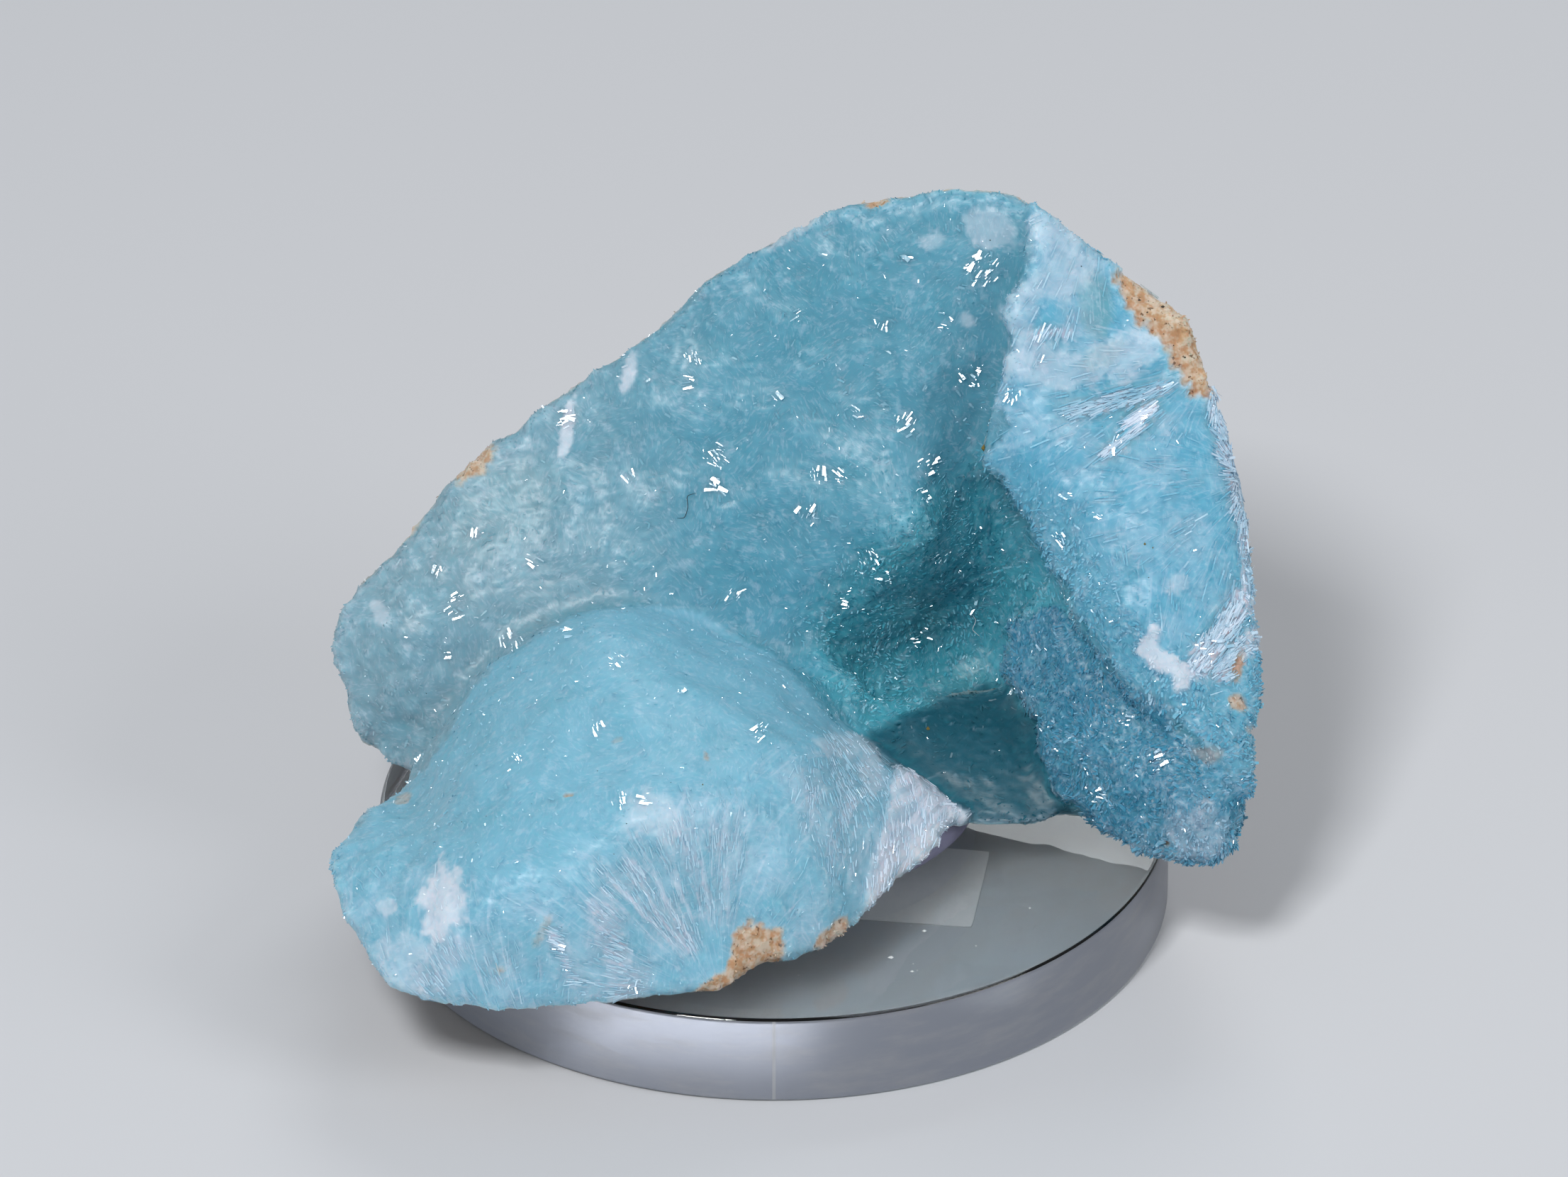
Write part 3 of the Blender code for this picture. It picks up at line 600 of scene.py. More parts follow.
# %% Shader arithmetic
class Wire:
    """A shader socket. Arithmetic on it adds Math nodes to its material."""

    def __init__(self, look, socket):
        self.look = look
        self.socket = socket

    def maths(self, operation, first, second=0.0):
        return self.look.node("ShaderNodeMath", {"operation": operation}, {0: first, 1: second})

    def __add__(self, other):
        return self.maths("ADD", self, other)

    def __radd__(self, other):
        return self.maths("ADD", other, self)

    def __sub__(self, other):
        return self.maths("SUBTRACT", self, other)

    def __rsub__(self, other):
        return self.maths("SUBTRACT", other, self)

    def __mul__(self, other):
        return self.maths("MULTIPLY", self, other)

    def __rmul__(self, other):
        return self.maths("MULTIPLY", other, self)

    def between(self, low, high):
        """0 at low, 1 at high, smooth in between and clamped outside."""
        return self.look.node(
            "ShaderNodeMapRange",
            {"interpolation_type": "SMOOTHSTEP", "clamp": True},
            {"Value": self, "From Min": low, "From Max": high},
        )


class Look:
    """One material: a Principled shader, and the nodes that vary it."""

    def __init__(self, name, **sockets):
        self.material = bpy.data.materials.new(name)
        self.material.use_nodes = True
        self.tree = self.material.node_tree
        self.shader = self.tree.nodes["Principled BSDF"]
        self.set(**sockets)

    def node(self, kind, settings=None, inputs=None, output=0):
        """A new node: settings first, then its inputs, each a value or a Wire; gives one output."""
        made = self.tree.nodes.new(kind)
        for key, value in (settings or {}).items():
            setattr(made, key, value)
        for key, value in (inputs or {}).items():
            self.join(made.inputs[key], value)
        return Wire(self, made.outputs[output])

    def join(self, socket, value):
        """Links a Wire to the socket, or sets the value on it."""
        if isinstance(value, Wire):
            self.tree.links.new(value.socket, socket)
        elif isinstance(value, tuple) and len(value) == 3 and socket.type == "RGBA":
            socket.default_value = (*value, 1.0)
        else:
            socket.default_value = value

    def set(self, **sockets):
        """Sets the Principled shader's inputs; an underscore in a name stands for a space."""
        for name, value in sockets.items():
            self.join(self.shader.inputs[name.replace("_", " ")], value)
        return self

    def place(self):
        """Object coordinates in metres."""
        return self.node("ShaderNodeTexCoord", output="Object")

    def mask(self, name):
        """A number stored on the mesh's vertices."""
        return self.node("ShaderNodeAttribute", {"attribute_name": name}, output="Fac")

    def stored(self, name):
        """A row of three stored on the mesh's vertices."""
        return self.node("ShaderNodeAttribute", {"attribute_name": name}, output="Vector")

    def noise(self, at, scale, detail=3.0, roughness=0.55, distortion=0.0):
        """Blender's noise texture, as a number from 0 to 1."""
        return self.node(
            "ShaderNodeTexNoise",
            {"noise_dimensions": "3D"},
            {
                "Vector": at, "Scale": scale, "Detail": detail, "Roughness": roughness,
                "Distortion": distortion,
            },
        )

    def grains(self, at, scale, output="Distance"):
        """Blender's cell texture: the distance to the nearest seed, or that cell's colour."""
        return self.node("ShaderNodeTexVoronoi", {}, {"Vector": at, "Scale": scale}, output)

    def stretched(self, at, scale):
        """Coordinates scaled by a different amount along each axis."""
        return self.node("ShaderNodeMapping", {"vector_type": "POINT"}, {"Vector": at, "Scale": scale})

    def mix(self, share, first, second):
        """Mixes two colours by share."""
        made = self.tree.nodes.new("ShaderNodeMix")
        made.data_type = "RGBA"
        made.clamp_factor = True
        self.join(made.inputs[0], share)
        self.join(made.inputs[6], first)
        self.join(made.inputs[7], second)
        return Wire(self, made.outputs[2])

    def bumped(self, height, distance, strength):
        """A Bump node's normal for a height from 0 to 1."""
        return self.node(
            "ShaderNodeBump", {}, {"Height": height, "Distance": distance, "Strength": strength}
        )


def srgb(red, green, blue):
    """A screen colour, 0 to 255, turned linear: power 2.4 above a short straight foot."""
    def straight(c):
        c = c / 255
        return c / 12.92 if c <= 0.04045 else ((c + 0.055) / 1.055) ** 2.4
    return (straight(red), straight(green), straight(blue))

# %% [markdown]
# The stone's own material. Copper gives hemimorphite its blue, and the light that comes back out
# has travelled a millimetre or two through it, so most of the colour is subsurface colour under a
# soft gloss. The blue is deep on the hanging lobe, greyer in the thin left lobe, paler on the mound,
# and whitest where fibres are broken. Painted shade tints the hollow a deeper teal and darkens the
# floor lobe under the hanging lobe and the creases of the relief. A painted highlight whitens convex
# edges and the crystals that flash. Fine feathery strokes, a little lighter than the gel between
# them, run a different way in each patch of a few millimetres.

# %% Hemimorphite colours
WALL_BLUE = srgb(90, 157, 179)
MOUND_BLUE = srgb(128, 186, 208)
LEFT_GREY = srgb(132, 168, 182)
DEEP_TEAL_AND_SHADE = srgb(66, 170, 188)
FLOOR_SHADE_TEAL = srgb(4, 72, 90)
HANGING_BLUE = srgb(62, 142, 174)
BROKEN_BLUE = srgb(98, 174, 202)
GREEN_GREY = srgb(106, 158, 164)
SILK_WHITE = srgb(224, 234, 248)
MILK_WHITE = srgb(222, 228, 238)
STAIN_TAN = srgb(188, 148, 112)
STAIN_PALE = srgb(206, 190, 170)
RIND_TAN = srgb(190, 164, 134)
RIND_PALE = srgb(200, 198, 190)
RIND_BROWN = srgb(112, 84, 60)
# Painted shade: the hollow, and the faces that look into it, are tinted deeper teal.
PLACE_BLUES = [
    ("mound", 1.0, MOUND_BLUE), ("wall", 1.0, BROKEN_BLUE), ("hanging", 1.0, HANGING_BLUE),
    ("hollow", 0.8, DEEP_TEAL_AND_SHADE), ("greenish", 0.6, GREEN_GREY),
]
FULL_TURN = 6.283


def strokes(look, at):
    """Turns the coordinates by a random angle per cell, then draws noise longer than it is wide."""
    patch = look.grains(at, 420.0, "Color")
    angle = look.node("ShaderNodeSeparateColor", {}, {"Color": patch}, output=0) * FULL_TURN
    turned_at = look.node(
        "ShaderNodeVectorRotate",
        {"rotation_type": "AXIS_ANGLE"},
        {"Vector": at, "Axis": tuple(SIGHT), "Angle": angle},
    )
    return look.noise(look.stretched(turned_at, (6000.0, 1800.0, 1800.0)), 1.0, 2.0, 0.6, 0.4)


def crystal_colour(look, at):
    """Blues blended by the stored masks, then clouded by broad noise."""
    across = look.node("ShaderNodeSeparateXYZ", {}, {"Vector": at}, output="X")
    broad = look.noise(at, 170.0, 2.0)
    rightward = (across + (broad - 0.5) * 0.012).between(-0.021, 0.0)
    colour = look.mix(rightward, LEFT_GREY, WALL_BLUE)
    for place, share, tint in PLACE_BLUES:
        colour = look.mix(look.mask(place) * share, colour, tint)
    cloud = look.noise(at, 330.0, 3.0, 0.6).between(0.40, 0.70)
    colour = look.mix(cloud * 0.16, colour, MOUND_BLUE)
    colour = look.mix(cloud * look.mask("silk") * 0.20, colour, SILK_WHITE)
    murk = look.noise(at, 260.0, 2.0, 0.6).between(0.50, 0.72)
    colour = look.mix(murk * 0.22, colour, look.mix(0.5, DEEP_TEAL_AND_SHADE, WALL_BLUE))
    return colour


def stone_colours(look):
    """Base colour of the stone, and the noises that its gloss and bump share."""
    at = look.place()
    colour = crystal_colour(look, at)
    stroke = strokes(look, at)
    colour = look.mix(stroke.between(0.52, 0.68) * 0.14, colour, SILK_WHITE)
    colour = look.mix((1 - stroke.between(0.34, 0.48)) * 0.12, colour, DEEP_TEAL_AND_SHADE)
    lot = look.mask("lot")
    # A high lot whitens a crystal: chance tone for the druse laths and splinters, and a painted highlight
    # on the flashing and sparkling crystals, whose lot is 0.9.
    colour = look.mix(lot.between(0.5, 1.0) * 0.16, colour, SILK_WHITE)
    # Painted shade: the floor lobe, shaded by the hanging lobe, is darkened to deep teal.
    colour = look.mix(look.mask("floor") * 0.88, colour, FLOOR_SHADE_TEAL)
    fine = look.noise(at, 1100.0, 3.0, 0.65)
    flecks = fine.between(0.54, 0.70) * (1 - look.mask("floor") * 0.95)
    colour = look.mix(flecks * 0.17, colour, SILK_WHITE)
    fibre = look.stored("fibre")
    streaks = look.noise(look.stretched(fibre, (2.6, 0.22, 1.0)), 1.0, 3.0, 0.62, 0.3)
    silk = look.mask("silk")
    white = look.mask("silk_white")
    streak_white = (streaks + white * 0.12).between(0.52, 0.70)
    colour = look.mix(silk * streak_white * 0.22, colour, SILK_WHITE)
    colour = look.mix(white * (0.18 + white * 0.36 + streak_white * 0.34), colour, SILK_WHITE)
    milk = look.mask("milk")
    colour = look.mix(milk * (0.50 + fine * 0.5), colour, MILK_WHITE)
    # Painted highlight: convex edges of the relief lightened toward white.
    colour = look.mix(look.mask("edge") * 0.20, colour, SILK_WHITE)
    # Painted shade: creases of the relief darkened toward deep teal.
    colour = look.mix(look.mask("crease_shade") * 0.22, colour, DEEP_TEAL_AND_SHADE)
    rock_tone = look.noise(at, 800.0, 2.0, 0.65)
    rock = look.mix(rock_tone.between(0.35, 0.65), RIND_TAN, RIND_PALE)
    pores = look.grains(at, 1700.0).between(0.05, 0.40)
    rock = look.mix((1 - pores) * 0.6 * rock_tone, rock, RIND_BROWN)
    islands = look.noise(at, 120.0, 3.0, 0.6).between(0.50, 0.62)
    rind_colour = look.mix(islands * 0.85, rock, look.mix(0.5, WALL_BLUE, MILK_WHITE))
    sand = look.noise(at, 1700.0, 2.0, 0.65)
    tan = look.mix(sand.between(0.35, 0.62), STAIN_TAN, STAIN_PALE)
    pits = look.noise(at, 2300.0, 2.0, 0.7).between(0.60, 0.68)
    tan = look.mix(pits * 0.9, tan, RIND_BROWN)
    colour = look.mix(look.mask("rind"), colour, rind_colour)
    stain = look.mask("stain")
    colour = look.mix(stain, colour, tan)
    rock_share = look.node(
        "ShaderNodeMath", {"operation": "MAXIMUM"}, {0: look.mask("rind") * (1 - islands * 0.7), 1: stain}
    )
    return {
        "at": at, "colour": colour, "stroke": stroke, "streaks": streaks, "silk": silk, "milk": milk,
        "white": white, "rock": rock_share, "lot": lot, "pores": pores,
    }


# %% Hemimorphite material
def hemimorphite_look(name, through):
    """Blue with a soft gloss, dull where it is rock; through is how much light goes inside."""
    look = Look(
        name,
        Metallic=0.0,
        IOR=1.62,
        Specular_IOR_Level=0.32,
        Subsurface_Weight=through,
        Subsurface_Radius=(0.45, 0.95, 1.0),
        Subsurface_Scale=2.0 * MM,
        Coat_Roughness=0.2,
        Coat_IOR=1.45,
    )
    parts = stone_colours(look)
    grain = look.noise(parts["at"], 3800.0, 1.0, 0.6)
    height = parts["stroke"] * (1 - parts["silk"] * 0.6) + parts["streaks"] * parts["silk"] * 0.6
    height = height + (grain + parts["pores"] * 2) * parts["rock"] * 2.0 + grain * 0.15
    glassy = parts["lot"].between(0.55, 0.8)
    roughness = 0.46 - glassy * 0.36 - parts["white"] * 0.10 + parts["milk"] * 0.12 + parts["rock"] * 0.45
    look.set(
        Base_Color=parts["colour"],
        Roughness=roughness,
        Coat_Weight=(0.08 + glassy * 0.4) * (1 - parts["rock"]) * (1 - look.mask("floor") * 0.9),
        Normal=look.bumped(height, 0.04 * MM, 0.3),
    )
    look.shader.subsurface_method = "RANDOM_WALK"
    return look.material


stone.data.materials.append(hemimorphite_look("hemimorphite", 1.0))
crystal_material = hemimorphite_look("hemimorphite_crystals", 0.0)

# %% [markdown]
# Crystals. The druse is a felt of small flat laths. Each leaves the crust at a low angle, has one
# flat upper face and ends in a wedge. Neighbours lie nearly the same way, because they grew from
# one seed, so a whole cluster catches the light at once and flashes white. They are planted here
# as real geometry: one lath of eight triangles, copied with its own size, direction and tilt.

# %% Planting tools
def array_mesh(name, points, faces):
    """A mesh of triangles from arrays, filled in one go."""
    mesh = bpy.data.meshes.new(name)
    mesh.vertices.add(len(points))
    mesh.vertices.foreach_set("co", points.ravel())
    mesh.loops.add(faces.size)
    mesh.loops.foreach_set("vertex_index", faces.ravel())
    mesh.polygons.add(len(faces))
    mesh.polygons.foreach_set("loop_start", np.arange(0, faces.size, 3))
    mesh.update(calc_edges=True)
    mesh.validate()
    return mesh


class Spots:
    """Random places on the skin. Any vertex array is read there by its corners' shares."""

    def __init__(self, weight, count):
        """Draws triangles by area times weight, then a point evenly inside each."""
        a, b, c = (SKIN_POINTS[SKIN_CORNERS[:, n]] for n in range(3))
        area = 0.5 * np.linalg.norm(np.cross(b - a, c - a), axis=1)
        pull = area * np.maximum(weight[SKIN_CORNERS].mean(axis=1), 0)
        chosen = RANDOM.choice(len(area), size=count, p=pull / pull.sum())
        root, far = np.sqrt(RANDOM.random(count)), RANDOM.random(count)
        self.shares = np.stack([1 - root, root * (1 - far), root * far], axis=1)
        self.corners = SKIN_CORNERS[chosen]
        self.points = self.read(SKIN_POINTS)
        self.normals = unit(self.read(SKIN_NORMALS))

    def read(self, values):
        """Values at the spots: the sum of each corner's value times its share."""
        shares = self.shares if values.ndim == 1 else self.shares[:, :, None]
        return (values[self.corners] * shares).sum(axis=1)


def swirl(points, normals, size, salt):
    """Unit directions in the surface that turn slowly with place: a noise vector laid flat."""
    push = np.stack([smooth_noise(points, size, salt + n) for n in range(3)], axis=1)
    return unit(push - (push * normals).sum(axis=1, keepdims=True) * normals)


def lath_axes(normals, flat, lift, roll):
    """Run, side and lid of each lath: its direction lifted off the surface, then rolled."""
    run = flat * np.cos(lift)[:, None] + normals * np.sin(lift)[:, None]
    side = unit(np.cross(normals, flat))
    lid = np.cross(run, side)
    c, s = np.cos(roll)[:, None], np.sin(roll)[:, None]
    return np.stack([run, side * c + lid * s, lid * c - side * s], axis=1)


LATH = np.array(
    [
        (-0.45, -0.5, 0.5), (-0.45, 0.5, 0.5), (0.55, 0.34, 0.5), (0.55, -0.34, 0.5),
        (-0.45, 0.5, -0.5), (-0.45, -0.5, -0.5),
    ]
)
LATH_FACES = np.array(
    [(0, 3, 2), (0, 2, 1), (5, 4, 2), (5, 2, 3), (0, 5, 3), (1, 2, 4), (0, 1, 4), (0, 4, 5)]
)


def planted(name, spots, axes, sizes, lots, sink=0.0):
    """One lath for each spot: corner = place + size x axis, summed over run, side and lid."""
    local = LATH[None, :, :] * (sizes * MM)[:, None, :]
    centres = spots.points - spots.normals * (sink * MM)
    points = centres[:, None, :] + np.einsum("nvk,nkc->nvc", local, axes)
    faces = LATH_FACES[None, :, :] + (np.arange(len(centres)) * len(LATH))[:, None, None]
    mesh = array_mesh(name, points.reshape(-1, 3), faces.reshape(-1, 3))
    mesh.shade_flat()
    for mask in MASK_NAMES:
        share = 0.0 if mask in ("edge", "crease_shade") else 1.0
        store(mesh, mask, np.repeat(spots.read(skin_looks[mask]) * share, len(LATH)))
    store(mesh, "fibre", np.repeat(spots.read(SKIN_FIBRES), len(LATH), axis=0))
    store(mesh, "lot", np.repeat(lots, len(LATH)))
    crystals = placed(name, mesh)
    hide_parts("hemimorphite")
    crystals.data.materials.append(crystal_material)
    print(name + ":", len(faces), "crystals,", faces.shape[0] * faces.shape[1], "triangles")


SKIN_POINTS = points_of(skin)
SKIN_NORMALS = normals_of(skin)
SKIN_CORNERS = triangles_of(skin)
SKIN_FIBRES = fibre_places(SKIN_POINTS)
CLEAR_OF_STAND = np.maximum(
    step(SKIN_POINTS[:, 2], DISC_TOP + 2.6 * MM, DISC_TOP + 3.4 * MM),
    step(np.hypot(SKIN_POINTS[:, 0], SKIN_POINTS[:, 1]), 15 * MM, 16 * MM)
    * step(SKIN_POINTS[:, 2], DISC_TOP + 0.9 * MM, DISC_TOP + 1.4 * MM),
)

# %% Laths of the druse
SWIRL_SIZE = 2.4 * MM
TILT_SIZE = 1.8 * MM


def felt(name, weight, count, length, lift, salt):
    """Laths swirled in patches: length in mm, and lift, the angle off the surface in radians."""
    spots = Spots(weight * CLEAR_OF_STAND, count)
    flat = swirl(spots.points, spots.normals, SWIRL_SIZE, salt)
    jitter = 0.35 * RANDOM.standard_normal((count, 3))
    flat = flat + jitter - (jitter * spots.normals).sum(axis=1, keepdims=True) * spots.normals
    edge = spots.read(skin_looks["edge"])
    rise = lift + 0.16 * smooth_noise(spots.points, TILT_SIZE, salt + 5)
    rise = rise + 0.10 * RANDOM.standard_normal(count) + 0.25 * edge
    roll = 0.5 * smooth_noise(spots.points, TILT_SIZE, salt + 9) + 0.12 * RANDOM.standard_normal(count)
    axes = lath_axes(spots.normals, unit(flat), np.clip(rise, 0.05, 1.3), roll)
    long = length * (0.6 + 0.9 * RANDOM.random(count) ** 2)
    wide = long * (0.22 + 0.16 * RANDOM.random(count))
    sizes = np.stack([long, wide, wide * 0.6], axis=1)
    planted(name, spots, axes, sizes, RANDOM.random(count) ** 1.5, sink=0.03)


DRUSE = (1 - skin_looks["silk"]) * (1 - skin_looks["rind"]) * (1 - skin_looks["stain"])
DRUSE = DRUSE * (1 - 0.7 * skin_looks["milk"]) * (1 - 0.85 * skin_looks["floor"])
SUGARY = np.clip(skin_looks["hanging"] + skin_looks["hollow"] * 0.8 + skin_looks["margin"] * 0.7, 0, 1)
felt("wall_laths", DRUSE * (1 - SUGARY) * (1 - skin_looks["mound"]), 2000, 0.36, 0.12, 100)
felt("mound_laths", DRUSE * skin_looks["mound"] * (0.25 + skin_looks["edge"]), 900, 0.32, 0.12, 120)
felt("sugary_laths", DRUSE * SUGARY, 14000, 0.36, 0.30, 140)
felt("lip_laths", skin_looks["edge"] * (1 - skin_looks["rind"]), 7000, 0.26, 0.45, 160)

EDGE_BLADES = skin_looks["edge"] * np.clip(skin_looks["margin"] + skin_looks["hanging"], 0, 1)
felt("margin_blades", EDGE_BLADES, 1800, 0.55, 0.50, 170)

# %% [markdown]
# Silk. Where the crust is broken, the fibres show as thousands of fine splinters that lie along
# the break, fanned out from where they started to grow. They are the same lath, drawn long and
# thin, and whiter than the gel, because light gets lost between them.

# %% Splinters of the silky breaks
def splinters(name, weight, count, length, thin, salt):
    """Long laths along the fibres, a few degrees off the surface, from thin to twice thin across."""
    spots = Spots(weight * CLEAR_OF_STAND, count)
    flat = fibre_run(spots.points) + 0.10 * RANDOM.standard_normal((count, 3))
    flat = unit(flat - (flat * spots.normals).sum(axis=1, keepdims=True) * spots.normals)
    rise = 0.05 + 0.05 * RANDOM.random(count)
    roll = 0.6 * smooth_noise(spots.points, 1.2 * MM, salt) + 0.3 * RANDOM.standard_normal(count)
    axes = lath_axes(spots.normals, flat, rise, roll)
    long = length * (0.4 + 1.2 * RANDOM.random(count) ** 2)
    wide = thin + thin * RANDOM.random(count)
    lots = 0.1 + 0.9 * RANDOM.random(count)
    planted(name, spots, axes, np.stack([long, wide, wide * 0.7], axis=1), lots)


BREAK = skin_looks["silk"] * (1 - skin_looks["stain"])
WALL_BREAK = BREAK * skin_looks["wall"] * (0.03 + skin_looks["silk_white"])
OFF_WING = 1 - 0.7 * skin_looks["wing"]
FRONT_BREAK = BREAK * (1 - skin_looks["wall"]) * (0.04 + skin_looks["silk_white"] * OFF_WING)
splinters("broken_wall_splinters", WALL_BREAK, 2000, 0.9, 0.07, 180)
splinters("broken_front_splinters", FRONT_BREAK, 1900, 0.75, 0.054, 190)

# %% [markdown]
# Flashes. The photo's brightest marks are flat crystal faces that mirror the lamp. They sit where
# the real ones do, each a small cluster of larger laths. A face mirrors the lamp when it looks
# halfway between lamp and eye, so these are turned that way, give or take a few degrees. Seen
# from elsewhere they are simply larger crystals.

# %% Crystals that flash
FLASH_CLUSTERS = [
    (-5.1, 28.4, 0.6, 9), (-5.6, 26.8, 0.5, 6), (-3.7, 22.2, 0.9, 16), (-3.6, 20.3, 0.6, 9),
    (2.8, 21.1, 0.6, 9), (4.1, 21.0, 0.5, 7), (2.1, 18.5, 0.7, 10), (8.2, 24.0, 0.8, 9),
    (9.7, 21.7, 0.7, 10), (9.4, 19.8, 0.5, 6), (5.2, 24.8, 0.4, 3), (13.1, 33.8, 1.1, 22),
    (8.5, 34.4, 0.3, 2), (15.0, 25.9, 0.5, 8), (12.4, 27.2, 0.8, 9), (-20.1, 12.7, 0.8, 11),
    (-16.6, 10.6, 0.8, 9), (-20.8, 9.6, 0.4, 4), (-21.1, 15.0, 0.4, 3), (-19.1, 17.3, 0.5, 4),
    (5.9, 15.8, 0.7, 9), (7.0, 14.6, 0.6, 6), (10.4, 15.8, 0.5, 5), (-2.6, 13.5, 0.6, 6),
    (-9.8, 9.3, 0.5, 5), (-1.0, 4.8, 0.6, 8), (-15.9, 3.2, 0.4, 4), (-9.6, 0.8, 0.6, 6),
    (-7.9, 0.9, 0.4, 3), (-10.9, 5.1, 0.4, 4), (-5.8, 7.4, 0.2, 2), (17.8, 16.8, 0.5, 6),
    (22.9, 24.5, 0.5, 8), (21.4, 22.8, 0.5, 5), (14.9, 7.7, 0.4, 4), (16.5, 9.9, 0.3, 2),
    (24.2, 3.0, 0.8, 8), (-13.2, 24.6, 0.6, 9), (20.3, 18.4, 0.4, 3), (18.3, 19.6, 0.4, 4),
    (22.0, 5.6, 0.5, 5), (20.4, 0.9, 0.5, 6), (26.9, 10.4, 0.8, 9), (-8.6, -10.6, 0.5, 6),
    (-13.2, -8.4, 0.4, 5), (-22.6, 3.0, 0.4, 3), (12.8, 12.9, 0.6, 3), (0.2, 25.6, 0.5, 3),
    (-9.2, 21.0, 0.4, 3), (-15.2, 15.6, 0.5, 4), (-13.1, 11.0, 0.4, 3), (4.6, 13.0, 0.5, 4),
    (9.2, 10.6, 0.6, 4), (6.8, 30.4, 0.6, 4), (10.6, 30.6, 0.6, 4), (1.6, 31.0, 0.5, 3),
]
KEY_PLACE = np.array([-0.20, -0.46, 0.62])
CAMERA_DISTANCE = 0.9
VIEW_CENTRE = np.array([0.62, 0.0, 22.13]) * MM
EYE_PLACE = VIEW_CENTRE - SIGHT * CAMERA_DISTANCE


def flashes(name, clusters, long_range, spread):
    """Larger laths on the skin points nearest each cluster's places, lids turned to the halfway line."""
    seen = sighted(SKIN_POINTS)
    front = np.nonzero((SKIN_NORMALS @ SIGHT < 0.1) & (CLEAR_OF_STAND > 0.5))[0]
    chosen, group = [], []
    for number, (across, up, reach, count) in enumerate(clusters):
        away = np.hypot(seen[front, 0] - across, seen[front, 1] - up)
        close = front[away < reach]
        nearest_depth = seen[close, 2].min() if len(close) else 0.0
        close = close[seen[close, 2] < nearest_depth + 3.0]
        if len(close):
            chosen.append(RANDOM.choice(close, size=count * 2))
            group += [number] * count * 2
    index = np.concatenate(chosen)
    group = np.array(group)
    count = len(index)
    spots = Spots(np.ones(len(SKIN_POINTS)), count)
    spots.corners = np.stack([index] * 3, axis=1)
    spots.points, spots.normals = SKIN_POINTS[index], SKIN_NORMALS[index]
    half = unit(unit(KEY_PLACE - spots.points) + unit(EYE_PLACE - spots.points))
    lid = unit(half + spread * RANDOM.standard_normal((count, 3)))
    heading = RANDOM.random(len(clusters))[group] * 2 * np.pi + 0.25 * RANDOM.standard_normal(count)
    level = unit(np.cross(lid, np.array([0.0, 0.0, 1.0])))
    other = np.cross(lid, level)
    run = level * np.cos(heading)[:, None] + other * np.sin(heading)[:, None]
    axes = np.stack([run, np.cross(lid, run), lid], axis=1)
    long = long_range[0] + (long_range[1] - long_range[0]) * RANDOM.random(count) ** 2.2
    wide = long * (0.14 + 0.34 * RANDOM.random(count) ** 2)
    # Their lot of 0.9 makes them glassy and also whitens their colour, a painted highlight.
    planted(name, spots, axes, np.stack([long, wide, wide * 0.7], axis=1), np.full(count, 0.9), sink=-0.02)


flashes("flashing_crystals", FLASH_CLUSTERS, (0.10, 0.70), 0.04)


def sparkles(name, weight, count):
    """Tiny laths all over, lids leaning to the halfway line by chance, so that a few of them flash."""
    spots = Spots(weight * CLEAR_OF_STAND, count)
    half = unit(unit(KEY_PLACE - spots.points) + unit(EYE_PLACE - spots.points))
    lid = unit(half + 0.14 * RANDOM.standard_normal((count, 3)))
    run = unit(np.cross(lid, RANDOM.standard_normal((count, 3))))
    axes = np.stack([run, np.cross(lid, run), lid], axis=1)
    long = 0.07 + 0.22 * RANDOM.random(count) ** 3
    sizes = np.stack([long, long * (0.16 + 0.34 * RANDOM.random(count)), long * 0.3], axis=1)
    # Their lot of 0.9 makes them glassy and also whitens their colour, a painted highlight.
    planted(name, spots, axes, sizes, np.full(count, 0.9), sink=-0.01)


sparkles("sparkling_crystals", DRUSE * (0.5 + SUGARY) + 0.3 * skin_looks["silk"], 4200)

# %% [markdown]
# Small truths. Fine dark grains sit in the druse, two bits of lint have caught on it, and dust
# lies on the disc. Each is tiny, but the eye misses them when they are gone.

# %% Grit, lint and dust
GRIT_PLACES = [
    (-10.8, 2.5, 0.10), (-9.9, -2.5, 0.09), (-17.8, -0.3, 0.08), (-18.4, -1.9, 0.08), (-9.1, -0.7, 0.12),
    (-9.2, 12.4, 0.08), (13.6, 35.6, 0.12), (19.2, 34.0, 0.14), (23.4, 14.6, 0.10), (16.7, 14.0, 0.08),
    (14.3, 8.2, 0.10), (15.0, 28.8, 0.08), (14.2, 27.7, 0.07), (22.9, 31.9, 0.22), (23.4, 31.2, 0.18),
    (23.1, 30.6, 0.16), (24.4, 31.6, 0.26), (25.7, 28.2, 0.20), (25.0, 29.0, 0.14), (27.2, 0.9, 0.16),
    (26.9, 1.0, 0.12), (24.6, -2.0, 0.20), (26.8, 4.4, 0.10), (27.3, 4.4, 0.10), (27.0, 3.0, 0.12),
    (27.6, 2.6, 0.10), (11.0, 17.6, 0.10), (12.0, 20.8, 0.10), (3.6, 10.4, 0.07), (8.0, 12.2, 0.07),
    (-22.0, 7.2, 0.10), (-18.0, 12.0, 0.07), (-4.6, 16.6, 0.07), (5.6, 27.8, 0.07), (-12.4, 14.0, 0.07),
    (-15.0, 0.6, 0.07), (-19.4, -0.6, 0.08), (-13.0, -7.0, 0.08), (-6.4, 1.8, 0.08), (20.6, 24.0, 0.08),
]
OLIVE_PLACES = [
    (13.1, 22.7, 0.42), (9.6, 5.0, 0.30), (23.1, 16.6, 0.24), (23.6, 16.4, 0.16), (-4.4, 1.7, 0.14),
]
DARK_LINT_ROUTE = [(-6.1, 18.3), (-5.7, 18.2), (-5.4, 18.9), (-5.5, 19.6), (-5.0, 19.9)]
